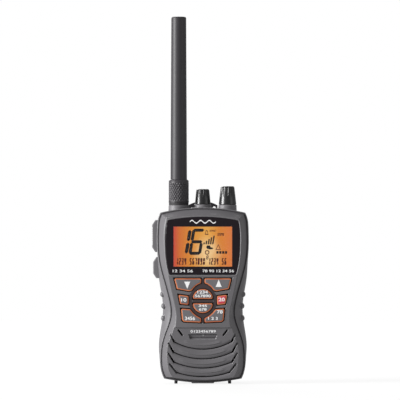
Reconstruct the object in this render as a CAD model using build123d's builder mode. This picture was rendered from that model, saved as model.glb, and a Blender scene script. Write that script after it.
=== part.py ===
from build123d import *
import math
import os

os.makedirs("parts", exist_ok=True)

# A floating handheld marine radio. Millimetres, +Z up, the front face looks to -Y and the user's
# left is -X. The origin is on the standing plane, under the middle of the case.

# ---- Case outlines, seen from the front: half width and height, from the bottom corner up ----
seam_side = [
    (25.8, 4.8), (27.9, 10.5), (28.5, 18.0), (27.6, 28.0), (24.6, 37.5), (21.6, 48.0), (22.8, 59.0),
    (26.6, 73.0), (29.4, 84.0), (30.7, 98.0), (30.5, 108.0), (29.8, 114.3), (28.4, 118.0),
]
body_side = [
    (26.1, 5.0), (28.9, 10.5), (30.2, 18.0), (30.7, 26.5), (29.5, 37.0), (28.0, 48.0), (28.3, 58.5),
    (30.6, 72.5), (31.4, 84.0), (32.0, 98.0), (31.8, 108.0), (30.9, 115.0), (28.4, 118.7),
]
face_side = [
    (20.8, 4.9), (23.2, 9.5), (24.4, 17.0), (23.9, 27.0), (20.3, 37.0), (18.8, 46.0), (20.9, 59.0),
    (23.9, 73.5), (25.4, 83.0), (27.0, 97.5), (26.7, 108.0), (25.9, 113.2), (25.2, 115.3),
]
seam_top = 121.5
seam_bottom = 2.1
body_top = 122.6
body_bottom = 0.8
face_top = 117.4
face_bottom = 3.3

# ---- Case depths and walls ----
case_depth = 42.0
cover_side = 7.5        # depth of the cover's sloping side
nest = 1.5              # how deep the cover sits inside the body's rim
rim_gap = 0.45          # shadow line between the cover and the rim
rim_land = 0.7          # width of the body's rim around that line
ledge_width = 2.4
ledge_thick = 1.4
front_wall = 3.0
side_wall = 2.0
back_wall = 1.8
running_gap = 0.3
slip = 0.05             # radial clearance of pins, shafts and spigots
face_edge = 0.9         # rounding of the cover's front edge
widest_depth = 29.0     # behind the face, where the body is widest
flank_depth = 18.0      # behind the face, where the flank has nearly reached that width
back_round = 3.0        # depth of the rounded back edge
back_inset = 3.2        # how far that edge pulls in
lining_inset = 1.0      # inner walls reach this far into the body wall

face_y = -case_depth / 2
back_y = case_depth / 2
rim_y = face_y + cover_side
seat_y = rim_y + nest
inside_y = face_y + front_wall
back_inside_y = back_y - back_wall

# ---- Display window, LCD and boards ----
lens_side = [(23.0, 76.0), (24.4, 81.8), (25.5, 89.9), (25.9, 97.9), (25.6, 107.9), (24.6, 113.7)]
lens_top = 116.1
lens_corner = 1.0
lens_thick = 1.5
lens_proud = 0.2
lens_gap = 0.15
lens_edge = 0.4
view_half = 20.3
view_low = 81.7
view_high = 109.4
view_shadow = 0.7       # how far the window opening in the cover is wider than the view
lcd_margin = 1.6
lcd_thick = 2.0
lcd_gap = 0.1
board_thick = 1.2
board_half = 22.0
board_waist = 16.6
board_low = 41.0
board_narrow_z = 58.0
board_wide_z = 70.0
board_high = 112.0

# ---- Keys ----
key_proud = 0.7
key_travel = 0.6
key_gap = 0.3
key_lip = 0.55
key_lip_thick = 1.0
key_lip_gap = 0.15
key_edge = 0.35
pad_height = 0.3
pad_radius = 2.0
mat_thick = 1.4
mat_low = 40.8
mat_high = 75.4
mat_half = (15.8, 21.3)
key_front_y = face_y - key_proud
key_back_y = inside_y + key_lip_gap + key_lip_thick
pad_y = key_back_y + key_travel + slip
mat_y = pad_y + pad_height
board_y = mat_y + mat_thick
board_back_y = board_y + board_thick

# ---- Grille, speaker and microphone ----
grille_top = 39.4
grille_drop = 0.8
# each louvre: elbow half width and height, height at the middle, tip half width and height
louvres = [
    (20.0, 29.6, 24.3, 22.7, 35.1), (20.5, 22.4, 17.6, 23.8, 28.4),
    (20.2, 15.5, 11.2, 23.8, 21.4), (18.5, 8.3, 5.2, 23.0, 14.0),
]
louvre_depth = 1.3
louvre_roll = 0.55      # how far each louvre's lip rolls in
louvre_lip = 2.6        # width of that lip
louvre_slit = 0.8
slash = ((17.3, 38.0), (13.9, 33.6))
slot_width = 1.3
recess_high = (10.1, 34.7)
recess_low = (9.0, 31.2)
recess_depth = 1.0
port_radius = 0.6
port_z = 34.0
drain_z = 5.4
drain_width = 3.2
drain_height = 0.9
speaker_radius = 13.5
speaker_z = 19.5
speaker_depth = 9.0
magnet_radius = 8.0
coil_cap_r = 5.0
mesh_thick = 0.5
mic_radius = 2.2
mic_depth = 2.2
mic_z = 35.6

# ---- Rear boards and inner parts ----
radio_board_y = -6.0
radio_low = 74.0
radio_high = 104.5
connector_width = 14.0
connector_height = 3.0
connector_z = 76.0
shield_half = 17.0
shield_low = 79.0
shield_high = 102.0
shield_depth = 4.5
shield_wall = 0.4
chassis_thick = 1.6
chassis_half = 22.1
chassis_low = 72.5
chassis_high = 105.0
chassis_hole_x = 17.0
chassis_hole_z = 12.0
chassis_hole_r = 1.5
foam_gap = 0.2
float_low = 75.5
float_high = 103.0
float_left = -21.5
float_right = 18.4
seal_inset = 0.9
seal_width = 1.0
seal_height = 0.8

# ---- Controls on top ----
top_y = 2.0
antenna_x = -16.8
squelch_x = 0.0
volume_x = 17.3
collar_base_z = 117.0
collar_edge = 0.4
antenna_collar = (7.35, 7.05, 124.4)   # radius at the base, radius at the top, height of the top
squelch_collar = (6.2, 6.0, 124.8)
volume_collar = (6.5, 6.3, 124.6)
knob_lift = 0.3
knob_wall = 1.6
knob_edge = 1.4
flute_count = 12
flute_foot_r = 0.2
flute_top_r = 1.15
flute_out = 0.6
flute_low_share = 0.42
squelch_knob_size = (5.5, 4.65, 135.6)     # radius at the bottom, radius at the top, height of the top
volume_knob_size = (6.15, 4.9, 137.6)
shaft_radius = 3.0
shaft_flat = 0.9
shaft_foot = 112.0
pot_size = 7.8
pot_height = 9.0
bush_height = 1.0
seal_radius = 0.7
seal_z = 121.5

# ---- Antenna ----
whip_base_r = 5.75
whip_tip_r = 5.2
whip_tip_z = 256.0
whip_edge = 1.2
spigot_radius = 4.5
spigot_length = 9.0
grip_radius = 7.0
grip_top_z = 142.2
grip_edge = 1.1
ring_thick = 1.3
ring_radius = 6.9
thread_radius = 3.15
thread_length = 6.6
neck_radius = 4.0
hex_radius = 4.6
hex_height = 5.0
rod_radius = 1.0
rod_low = 128.0
rod_top = 248.0
socket_depth = 3.5
socket_gap = 0.4

# ---- Side buttons (left) and jack cover (right) ----
button_front_y = -6.5
button_back_y = 5.5
ptt_low = 91.6
ptt_high = 113.9
ptt_reach = 35.4
ptt_inner_high = 111.0
ptt_travel = 1.2
side_low = 73.4
side_high = 88.1
side_reach = 34.7
button_taper = 3.4      # height of a button's sloping end
button_slope = 2.2      # how far that end drops
button_edge = 0.8
grip_rib = 0.5
grip_rib_pitch = 1.6
grip_rib_count = 8
button_pad = (28.0, 31.0)
pad_margin = 1.5
button_stop = 29.0
button_lip = 0.8
button_lip_thick = 1.0
button_lip_gap = 0.1
switch_size = 6.0
switch_thick = 2.0
plunger_radius = 1.6
plunger_gap = 0.1
plunger_rise = 0.4
side_board_thick = 1.0
side_board_low = 76.0
side_board_high = 109.0
jack_front_y = -5.5
jack_back_y = 6.0
jack_low = 84.0
jack_high = 102.0
jack_cover_x = 30.0
jack_block_x = 25.5
jack_block_wall = 2.0
jack_pitch = 9.0
jack_big_r = 1.8
jack_small_r = 1.3
jack_body_depth = 6.0
jack_body_size = (14.0, 8.0)
jack_y = 1.5

# ---- Battery bay and door ----
cell_radius = 5.2
cell_length = 44.5
cell_nub = 1.2
cell_nub_r = 1.9
cell_pitch = 10.8
cell_count = 5
cell_gap = 0.2
bay_low = 14.6
bay_floor_y = 6.0
bay_wall = 0.9
spring_radius = 3.2
spring_wire = 0.25
spring_turns = 3
spring_space = 2.1
plate_thick = 0.4
plate_size = 9.4
door_low = 7.0
door_split_y = 14.0
door_gap = 0.3
bay_rim_y = 16.8
seal_touch = 0.1
shelf_thick = 1.3
header_height = 3.2
sill_height = 1.3
hook_room = 2.0
hook_x = 14.0
hook_width = 6.0
hook_thick = 1.0
hook_rise = 1.7
hook_root = 1.0
hook_y = 17.5
door_screw_z = 10.3
screw_boss_r = 2.9
screw_boss_gap = 0.3
screw_shank_r = 1.5
screw_grip = 2.5
screw_bore_gap = 0.25
screw_head_r = 3.2
screw_head_depth = 1.1
screw_head_sink = 0.1
coin_slot = 1.0
screw_edge = 0.3
cross_span = 2.2
cross_width = 0.6

# ---- Belt clip ----
pivot_z = 113.0
pivot_out = 3.8
clip_half = 10.4
clip_thick = 2.2
clip_out = 7.4          # middle of the blade, behind the case
clip_bend_z = 88.0
clip_toe = (1.5, 80.5)
clip_lead = (2.9, 75.5)
clip_bend_r = 4.0
clip_top = 127.0
clip_shoulder_z = 124.2
clip_foot_r = 4.0
clip_pin_r = 1.2
knuckle_r = 2.2
ear_inner = 7.2
ear_outer = 9.2
bracket_thick = 1.2
bracket_half = 10.0
bracket_low = 103.5
bracket_high = 119.0
bracket_round = 1.5
knuckle_span = (4.6, 6.9)
coil_radius = 1.75
coil_wire = 0.3
coil_turns = 5.5
coil_pitch = 0.95
pin_end = 0.3
blade_leg = 4.4
bracket_leg = 1.8
bracket_screw_x = 5.4
bracket_screw_z = 106.4
bracket_head = (1.9, 1.1)
bracket_shank = (0.95, 6.0)
bracket_boss_r = 2.4
bracket_boss_deep = 7.0
eyelet_x = 8.1
eyelet_z = 122.4
eyelet_radius = 1.0

# ---- Case screws, feet, contact block and grip nubs ----
posts = [(24.5, 114.6), (-24.5, 114.6), (19.0, 9.9), (-19.0, 9.9)]
front_post_r = 2.6
rear_post_r = 3.0
well_radius = 2.4
clear_radius = 1.35
case_shank_r = 1.2
head_radius = 2.1
head_height = 1.6
screw_seat_y = -5.0
insert_radius = 1.75
insert_length = 4.5
shank_reach = 4.0
foot_x = 18.7
foot_radius = 1.1
foot_top_z = 3.9
foot_tip = 0.3
feet_y = (-8.0, 14.0)
block_half = 8.0
block_edge = 0.6
block_front_y = -5.0
block_back_y = 7.0
block_top_z = 2.2
contact_radius = 1.4
contact_x = 5.0
contact_y = 1.0
contact_sink = 0.1
nub_heights = (45.5, 54.0, 62.2)
nub_radius = 2.0
nub_sink = 1.15
nub_front_y = -9.5
nub_back_y = 12.0
nub_end = 0.3           # flat left at each end of a nub

# ---- Places worked out from the sizes above ----
lens_floor_y = face_y - lens_proud + lens_thick
lcd_y = inside_y + lcd_gap
bay_high = bay_low + cell_count * cell_pitch
bay_half = (cell_length + 2 * plate_thick + spring_space) / 2
tray_low = bay_low - bay_wall
tray_high = bay_high + bay_wall
tray_half = bay_half + bay_wall
door_high = tray_high + hook_room
antenna_seat_z = antenna_collar[2]
thread_top_z = antenna_seat_z + thread_length
grip_low_z = antenna_seat_z + ring_thick
whip_foot_z = grip_top_z - spigot_length
pivot_y = back_y + pivot_out
door_inside_y = back_y - back_wall
door_screw_tip_y = door_inside_y - screw_boss_gap - screw_grip
blade_y = back_y + clip_out
button_lip_x = button_pad[0] - button_lip_gap
button_tail_x = button_lip_x - button_lip_thick
plunger_x = button_tail_x - ptt_travel - plunger_gap
switch_back_x = plunger_x - plunger_rise - switch_thick
huge = 400.0
standing = (Align.CENTER, Align.CENTER, Align.MIN)


def at_depth(y):
    """Drawing plane across the case at depth y: local x is X, local y is Z, its normal looks to -Y."""
    return Plane.XZ.offset(-y)


def at_side(x):
    """Drawing plane along the case at x: local x is Y, local y is Z, its normal looks to +X."""
    return Plane.YZ.offset(x)


def symmetric(side, top, bottom, inset=0.0):
    """Closed outline, mirrored about X=0, moved in by inset all round."""
    middle = (top + bottom) / 2
    shrink = 1 - inset / ((top - bottom) / 2)
    right = [(w - inset, middle + (z - middle) * shrink) for w, z in side]
    left = [(-x, z) for x, z in reversed(right)]
    crown = (0, middle + (top - middle) * shrink)
    sole = (0, middle + (bottom - middle) * shrink)
    with BuildSketch() as drawn:
        with BuildLine():
            Spline(*right)
            ThreePointArc(right[-1], crown, left[0])
            Spline(*left)
            ThreePointArc(left[-1], sole, right[0])
        make_face()
    return drawn.sketch


def seam_outline(inset=0.0):
    return symmetric(seam_side, seam_top, seam_bottom, inset)


def body_outline(inset=0.0):
    return symmetric(body_side, body_top, body_bottom, inset)


def face_outline(inset=0.0):
    return symmetric(face_side, face_top, face_bottom, inset)


def lens_outline(grow=0.0):
    """The display window: bowed sides, arched top, straight bottom."""
    foot, corner = lens_side[0][1] - grow, lens_side[-1][1] + grow
    rise = (corner - foot) / (lens_side[-1][1] - lens_side[0][1])
    right = [(w + grow, foot + (z - lens_side[0][1]) * rise) for w, z in lens_side]
    left = [(-x, z) for x, z in reversed(right)]
    with BuildSketch() as drawn:
        with BuildLine():
            Spline(*right)
            ThreePointArc(right[-1], (0, lens_top + grow), left[0])
            Spline(*left)
            Line(left[-1], right[0])
        make_face()
        fillet(drawn.vertices(), lens_corner)
    return drawn.sketch


def body_sections(wall=0.0):
    """The rear body's outlines with their depths, front to back, moved in by wall."""
    sections = [
        (face_y + flank_depth, body_outline(wall + 0.25)),
        (face_y + widest_depth, body_outline(wall)),
        (back_y - back_round, body_outline(wall + 0.8)),
    ]
    if wall:
        sections.insert(0, (seat_y + ledge_thick, seam_outline(ledge_width)))
        sections.append((back_y - back_wall, body_outline(wall + back_inset - 0.9)))
    else:
        sections.insert(0, (rim_y, seam_outline(-rim_gap - rim_land)))
        sections.append((back_y, body_outline(back_inset)))
    return sections


def body_width(z):
    """Half width of the body's outline at height z."""
    for (w0, z0), (w1, z1) in zip(body_side, body_side[1:]):
        if z0 <= z <= z1:
            return w0 + (w1 - w0) * (z - z0) / (z1 - z0)
    return body_side[-1][0]


def polygon_sketch(points, mirrored=False):
    """A closed figure of straight lines; mirrored repeats the points across X=0."""
    loop = points + [(-x, z) for x, z in reversed(points)] if mirrored else points
    with BuildSketch() as drawn:
        with BuildLine():
            Polyline(*loop, close=True)
        make_face()
    return drawn.sketch


def key_top_left():
    """Upper corner key: a wide wedge hollowed round the middle keys."""
    with BuildSketch() as drawn:
        with BuildLine():
            Polyline((-0.75, 69.9), (-0.75, 73.9), (-20.4, 73.9), (-18.3, 65.8), (-9.5, 64.2), (-7.3, 64.8))
            ThreePointArc((-7.3, 64.8), (-4.5, 68.0), (-0.75, 69.9))
        make_face()
    return drawn.sketch


def key_bottom_left():
    """Lower corner key, hollowed round the middle keys."""
    with BuildSketch() as drawn:
        with BuildLine():
            Polyline((-0.8, 46.2), (-0.8, 42.4), (-13.3, 43.0), (-14.7, 44.3), (-15.6, 53.0), (-8.5, 52.5))
            ThreePointArc((-8.5, 52.5), (-5.1, 48.7), (-0.8, 46.2))
        make_face()
    return drawn.sketch


def key_middle_left():
    return polygon_sketch([(-17.5, 62.7), (-9.5, 61.65), (-9.5, 54.7), (-16.0, 55.3)])


def key_half_disc(flat_z, round_z):
    """One of the two half round middle keys."""
    with BuildSketch() as drawn:
        with BuildLine():
            ThreePointArc((-7.4, flat_z), (0, round_z), (7.4, flat_z))
            Line((7.4, flat_z), (-7.4, flat_z))
        make_face()
    return drawn.sketch


def mirror_right(sketch):
    return mirror(sketch, about=Plane.YZ)


key_outlines = {
    "key_down": key_top_left(),
    "key_up": mirror_right(key_top_left()),
    "key_call": key_half_disc(58.9, 66.6),
    "key_menu": key_half_disc(56.6, 49.0),
    "key_watch": key_middle_left(),
    "key_alert": mirror_right(key_middle_left()),
    "key_scan": key_bottom_left(),
    "key_power": mirror_right(key_bottom_left()),
}

# ---- front_case: cover moulding with the window recess, key openings and louvred grille ----
with BuildPart() as front_case:
    with BuildSketch(at_depth(rim_y)):
        add(seam_outline())
    with BuildSketch(at_depth(face_y)):
        add(face_outline())
    loft(ruled=True)
    with BuildSketch(at_depth(seat_y)):
        add(seam_outline())
    extrude(amount=nest)
    fillet(front_case.faces().sort_by(Axis.Y)[0].edges(), face_edge)
    with BuildSketch(at_depth(face_y + grille_drop)):
        add(polygon_sketch([(huge, -huge), (huge, grille_top), (-huge, grille_top), (-huge, -huge)]))
    extrude(amount=huge, mode=Mode.SUBTRACT)
    # hollow
    with BuildSketch(at_depth(rim_y)):
        add(seam_outline(side_wall))
    with BuildSketch(at_depth(inside_y)):
        add(face_outline(side_wall))
    loft(ruled=True, mode=Mode.SUBTRACT)
    with BuildSketch(at_depth(seat_y)):
        add(seam_outline(side_wall))
    extrude(amount=nest, mode=Mode.SUBTRACT)
    # screw posts with pockets for the threaded inserts
    with BuildSketch(at_depth(seat_y)):
        with Locations(*posts):
            Circle(front_post_r)
    extrude(amount=seat_y - inside_y)
    with BuildSketch(at_depth(seat_y)):
        with Locations(*posts):
            Circle(insert_radius)
    extrude(amount=insert_length, mode=Mode.SUBTRACT)
    # window recess and the opening behind it
    with BuildSketch(at_depth(lens_floor_y)):
        add(lens_outline(lens_gap))
    extrude(amount=huge, mode=Mode.SUBTRACT)
    with BuildSketch(at_depth(inside_y)):
        with Locations((0, (view_low + view_high) / 2)):
            Rectangle(2 * (view_half + view_shadow), view_high - view_low + 2 * view_shadow)
    extrude(amount=huge, mode=Mode.SUBTRACT)
    # key openings
    for outline in key_outlines.values():
        with BuildSketch(at_depth(inside_y)):
            add(outline)
            offset(amount=key_gap, kind=Kind.INTERSECTION)
        extrude(amount=huge, mode=Mode.SUBTRACT)
    # louvres: each is an arc with rolled lips, and a steep open slot at each end of it
    grille_y = face_y + grille_drop
    for elbow_x, elbow_z, middle_z, tip_x, tip_z in louvres:
        rise = elbow_z - middle_z
        radius = (elbow_x ** 2 + rise ** 2) / (2 * rise)
        swing = math.asin(elbow_x / radius)
        centre = (0, 0, middle_z + radius)
        groove_plane = Plane(centre, x_dir=(0, 1, 0), z_dir=(-math.cos(swing), 0, math.sin(swing)))
        with BuildSketch(groove_plane):
            with BuildLine():
                inner, outer = radius - louvre_slit / 2, radius + louvre_slit / 2
                roll_y = grille_y + louvre_roll
                Polyline((roll_y, inner), (grille_y + louvre_depth, inner),
                         (grille_y + louvre_depth, outer), (roll_y, outer))
                ThreePointArc((roll_y, outer), (grille_y + louvre_roll / 4, outer + louvre_lip / 3),
                              (grille_y - slip, outer + louvre_lip))
                Polyline((grille_y - slip, outer + louvre_lip), (face_y - 1, outer + louvre_lip),
                         (face_y - 1, inner - louvre_lip), (grille_y - slip, inner - louvre_lip))
                ThreePointArc((grille_y - slip, inner - louvre_lip),
                              (grille_y + louvre_roll / 4, inner - louvre_lip / 3), (roll_y, inner))
            make_face()
        revolve(axis=Axis(centre, (0, -1, 0)), revolution_arc=math.degrees(2 * swing), mode=Mode.SUBTRACT)
        for side in (-1, 1):
            run = Vector(side * (tip_x - elbow_x), tip_z - elbow_z)
            with BuildSketch(at_depth(inside_y)):
                with Locations((side * (tip_x + elbow_x) / 2, (tip_z + elbow_z) / 2)):
                    angle = math.degrees(math.atan2(run.Y, run.X))
                    SlotOverall(run.length + slot_width, slot_width, rotation=angle)
            extrude(amount=huge, mode=Mode.SUBTRACT)
    for side in (-1, 1):
        (x0, z0), (x1, z1) = slash
        with BuildSketch(at_depth(inside_y)):
            with Locations((side * (x0 + x1) / 2, (z0 + z1) / 2)):
                angle = math.degrees(math.atan2(z0 - z1, side * (x0 - x1)))
                SlotOverall(math.hypot(x0 - x1, z0 - z1), slot_width, rotation=angle)
        extrude(amount=huge, mode=Mode.SUBTRACT)
    # microphone recess and port, drain hole
    with BuildSketch(at_depth(grille_y + recess_depth)):
        add(polygon_sketch([recess_low, recess_high], mirrored=True))
    extrude(amount=huge, mode=Mode.SUBTRACT)
    with BuildSketch(at_depth(inside_y)):
        with Locations((0, port_z)):
            Circle(port_radius)
        with Locations((0, drain_z)):
            SlotOverall(drain_width, drain_height)
    extrude(amount=huge, mode=Mode.SUBTRACT)
front_case.part.label = "front_case"
export_step(front_case.part, "parts/front_case.step")

# ---- rear_case: the wider body with its inner walls, control collars, battery bay and grip nubs ----
with BuildPart() as lining:
    # screw posts, the button pad, the jack block and the walls round the battery bay
    with BuildSketch(at_depth(back_y)):
        with Locations(*posts[:2]):
            Circle(rear_post_r)
    extrude(amount=back_y - seat_y)
    with BuildSketch(at_depth(door_split_y)):
        with Locations(*posts[2:]):
            Circle(rear_post_r)
    extrude(amount=door_split_y - seat_y)
    with BuildSketch(at_depth(door_split_y)):
        add(polygon_sketch([(huge, door_low - sill_height), (huge, door_high + header_height)], mirrored=True))
    extrude(amount=shelf_thick)
    with BuildSketch(at_depth(back_y)):
        add(polygon_sketch([(huge, door_low - sill_height), (huge, door_low)], mirrored=True))
        add(polygon_sketch([(huge, door_high), (huge, door_high + header_height)], mirrored=True))
    extrude(amount=back_y - door_split_y)
    with BuildSketch(at_depth(bay_rim_y)):
        add(polygon_sketch([(tray_half, tray_low), (tray_half, tray_high)], mirrored=True))
    extrude(amount=bay_rim_y - bay_floor_y + bay_wall)
    with BuildSketch(at_depth(door_inside_y - screw_boss_gap)):
        with Locations((0, door_screw_z)):
            Circle(screw_boss_r)
    extrude(amount=door_inside_y - screw_boss_gap - door_split_y)
    with BuildSketch(at_depth(back_y)):
        with Locations((bracket_screw_x, bracket_screw_z), (-bracket_screw_x, bracket_screw_z)):
            Circle(bracket_boss_r)
    extrude(amount=bracket_boss_deep)
    pad_low, pad_high = side_low - pad_margin, ptt_high + pad_margin
    with BuildSketch(at_side(-button_pad[1])):
        with Locations(((button_front_y + button_back_y) / 2, (pad_low + pad_high) / 2)):
            Rectangle(button_back_y - button_front_y + 2 * pad_margin, pad_high - pad_low)
    extrude(amount=button_pad[1] - button_pad[0])
    with BuildSketch(at_side(jack_block_x)):
        with Locations(((jack_front_y + jack_back_y) / 2, (jack_low + jack_high) / 2)):
            Rectangle(jack_back_y - jack_front_y + 2 * jack_block_wall, jack_high - jack_low + 2 * jack_block_wall)
    extrude(amount=body_width(jack_high) - jack_block_x)
    for depth, outline in body_sections(lining_inset):
        with BuildSketch(at_depth(depth)):
            add(outline)
    loft(mode=Mode.INTERSECT)

with BuildPart() as grip_nubs:
    # round ribs that run back along each side
    with BuildSketch(at_depth(nub_back_y)):
        with Locations(*[(s * (body_width(z) - nub_sink), z) for z in nub_heights for s in (-1, 1)]):
            Circle(nub_radius)
    extrude(amount=nub_back_y - nub_front_y)
    fillet(grip_nubs.edges().filter_by(GeomType.CIRCLE), nub_radius - nub_end)

with BuildPart() as rear_case:
    for depth, outline in body_sections():
        with BuildSketch(at_depth(depth)):
            add(outline)
    loft()
    add(grip_nubs.part)
    for depth, outline in body_sections(side_wall):
        with BuildSketch(at_depth(depth)):
            add(outline)
    loft(mode=Mode.SUBTRACT)
    with BuildSketch(at_depth(seat_y + ledge_thick)):
        add(seam_outline(ledge_width))
    extrude(amount=huge, mode=Mode.SUBTRACT)
    with BuildSketch(at_depth(seat_y)):
        add(seam_outline(-rim_gap))
    extrude(amount=huge, mode=Mode.SUBTRACT)
    with BuildSketch(at_depth(seat_y + seal_height)):
        add(seam_outline(seal_inset - slip))
        add(seam_outline(seal_inset + seal_width + slip), mode=Mode.SUBTRACT)
    extrude(amount=seal_height, mode=Mode.SUBTRACT)
    # opening for the battery door, then the inner walls
    with BuildSketch(at_depth(back_y + 1)):
        add(polygon_sketch([(huge, door_low), (huge, door_high)], mirrored=True))
    extrude(amount=back_y + 1 - door_split_y, mode=Mode.SUBTRACT)
    add(lining.part)
    # collars for the antenna and the knobs
    for x, (low_r, high_r, high_z) in (
        (antenna_x, antenna_collar), (squelch_x, squelch_collar), (volume_x, volume_collar),
    ):
        with Locations((x, top_y, collar_base_z)):
            Cone(low_r, high_r, high_z - collar_edge - collar_base_z, align=standing)
        with Locations((x, top_y, high_z - collar_edge)):
            Cone(high_r, high_r - collar_edge, collar_edge, align=standing)
    with BuildSketch(Plane.XY.offset(collar_base_z)):
        with Locations((antenna_x, top_y)):
            Circle(neck_radius + slip)
        with Locations((squelch_x, top_y), (volume_x, top_y)):
            Circle(shaft_radius + slip)
    extrude(amount=huge, mode=Mode.SUBTRACT)
    with BuildSketch(Plane.XY.offset(seal_z - seal_radius)):
        with Locations((squelch_x, top_y), (volume_x, top_y)):
            Circle(shaft_radius + 2 * seal_radius + slip)
    extrude(amount=2 * seal_radius, mode=Mode.SUBTRACT)
    # battery bay
    with BuildSketch(at_depth(back_y)):
        add(polygon_sketch([(bay_half, bay_low), (bay_half, bay_high)], mirrored=True))
    extrude(amount=back_y - bay_floor_y, mode=Mode.SUBTRACT)
    # case screws: a clearance hole through each post, and a deep well for the head
    with BuildSketch(at_depth(screw_seat_y)):
        with Locations(*posts):
            Circle(clear_radius)
    extrude(amount=huge, mode=Mode.SUBTRACT)
    with BuildSketch(at_depth(back_y + 1)):
        with Locations(*posts):
            Circle(well_radius)
    extrude(amount=back_y + 1 - screw_seat_y, mode=Mode.SUBTRACT)
    # door screw bore, hook pockets, bracket screw bores
    with BuildSketch(at_depth(back_y)):
        with Locations((0, door_screw_z)):
            Circle(screw_shank_r + screw_bore_gap)
    extrude(amount=back_y - door_screw_tip_y + slip, mode=Mode.SUBTRACT)
    with BuildSketch(at_depth(back_inside_y)):
        with Locations(*[(side * hook_x, door_high + hook_rise / 2 + door_gap) for side in (-1, 1)]):
            Rectangle(hook_width + 4 * door_gap, hook_rise + 4 * door_gap)
    extrude(amount=back_inside_y - door_split_y, mode=Mode.SUBTRACT)
    with BuildSketch(at_depth(back_y + 1)):
        with Locations((bracket_screw_x, bracket_screw_z), (-bracket_screw_x, bracket_screw_z)):
            Circle(bracket_shank[0] + slip)
    extrude(amount=1 + bracket_shank[1] - bracket_thick, mode=Mode.SUBTRACT)
    # side button openings, jack cover recess and jack bores
    for low, high in ((ptt_low, ptt_high), (side_low, side_high)):
        with BuildSketch(at_side(-button_pad[0] + door_gap)):
            with Locations(((button_front_y + button_back_y) / 2, (low + high) / 2)):
                Rectangle(button_back_y - button_front_y + 2 * running_gap, high - low + 2 * running_gap)
        extrude(amount=-huge, mode=Mode.SUBTRACT)
        with BuildSketch(at_side(-button_tail_x + running_gap)):
            with Locations(((button_front_y + button_back_y) / 2, (low + high) / 2)):
                Rectangle(button_back_y - button_front_y + 2 * (button_lip + running_gap), high - low)
        extrude(amount=button_tail_x - running_gap - button_pad[0], mode=Mode.SUBTRACT)
    with BuildSketch(at_side(jack_cover_x - running_gap)):
        with Locations(((jack_front_y + jack_back_y) / 2, (jack_low + jack_high) / 2)):
            Rectangle(jack_back_y - jack_front_y + 2 * running_gap, jack_high - jack_low + 2 * running_gap)
    extrude(amount=huge, mode=Mode.SUBTRACT)
    jack_z = (jack_low + jack_high) / 2
    for height, radius in ((jack_z + jack_pitch / 2, jack_big_r), (jack_z - jack_pitch / 2, jack_small_r)):
        with BuildSketch(at_side(jack_block_x)):
            with Locations((jack_y, height)):
                Circle(radius)
        extrude(amount=huge, mode=Mode.SUBTRACT)
    # pockets underneath for the contact block and the feet
    with BuildSketch(Plane.XY):
        with Locations((0, (block_front_y + block_back_y) / 2)):
            Rectangle(2 * (block_half + slip), block_back_y - block_front_y + 2 * slip)
    extrude(amount=block_top_z, mode=Mode.SUBTRACT)
    with BuildSketch(Plane.XY):
        with Locations(*[(side * foot_x, y) for side in (-1, 1) for y in feet_y]):
            Circle(foot_radius + slip)
    extrude(amount=foot_top_z, mode=Mode.SUBTRACT)
rear_case.part.label = "rear_case"
export_step(rear_case.part, "parts/rear_case.step")

# ---- battery_door: a slice of the body's back with two hooks and a hole for its screw ----
with BuildPart() as battery_door:
    for depth, outline in body_sections():
        with BuildSketch(at_depth(depth)):
            add(outline)
    loft()
    with BuildSketch(at_depth(back_y)):
        add(polygon_sketch([(huge, door_low + door_gap), (huge, door_high - door_gap)], mirrored=True))
    extrude(amount=back_y - door_split_y - door_gap, mode=Mode.INTERSECT)
    for depth, outline in body_sections(back_wall):
        with BuildSketch(at_depth(depth)):
            add(outline)
    loft(mode=Mode.SUBTRACT)
    with BuildSketch(at_depth(door_inside_y + slip)):
        with Locations(*[(side * hook_x, door_high - door_gap - hook_root / 2) for side in (-1, 1)]):
            Rectangle(hook_width, hook_root)
    extrude(amount=door_inside_y + slip - hook_y)
    with BuildSketch(at_depth(hook_y + hook_thick)):
        with Locations(*[(side * hook_x, door_high - door_gap + (hook_rise - hook_root) / 2) for side in (-1, 1)]):
            Rectangle(hook_width, hook_rise + hook_root)
    extrude(amount=hook_thick)
    with BuildSketch(at_depth(back_y)):
        with Locations((0, door_screw_z)):
            Circle(screw_head_r + running_gap)
    extrude(amount=screw_head_depth + screw_head_sink, mode=Mode.SUBTRACT)
    with BuildSketch(at_depth(back_y)):
        with Locations((0, door_screw_z)):
            Circle(screw_shank_r + slip)
    extrude(amount=back_y - door_split_y, mode=Mode.SUBTRACT)
battery_door.part.label = "battery_door"
export_step(battery_door.part, "parts/battery_door.step")

# ---- display window: black border and clear pane ----
view_z = (view_low + view_high) / 2
with BuildPart() as lens_border:
    with BuildSketch(at_depth(lens_floor_y)):
        add(lens_outline())
        with Locations((0, view_z)):
            Rectangle(2 * view_half, view_high - view_low, mode=Mode.SUBTRACT)
    extrude(amount=lens_thick)
    fillet(lens_border.faces().sort_by(Axis.Y)[0].outer_wire().edges(), lens_edge)
lens_border.part.label = "lens_border"
export_step(lens_border.part, "parts/lens_border.step")

with BuildPart() as lens_window:
    with BuildSketch(at_depth(lens_floor_y)):
        with Locations((0, view_z)):
            Rectangle(2 * view_half, view_high - view_low)
    extrude(amount=lens_thick)
lens_window.part.label = "lens_window"
export_step(lens_window.part, "parts/lens_window.step")

# ---- LCD glass and its light guide ----
with BuildPart() as lcd_panel:
    with BuildSketch(at_depth(lcd_y + lcd_thick)):
        with Locations((0, view_z)):
            Rectangle(2 * (view_half + lcd_margin), view_high - view_low + 2 * lcd_margin)
    extrude(amount=lcd_thick)
lcd_panel.part.label = "lcd_panel"
export_step(lcd_panel.part, "parts/lcd_panel.step")

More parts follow.
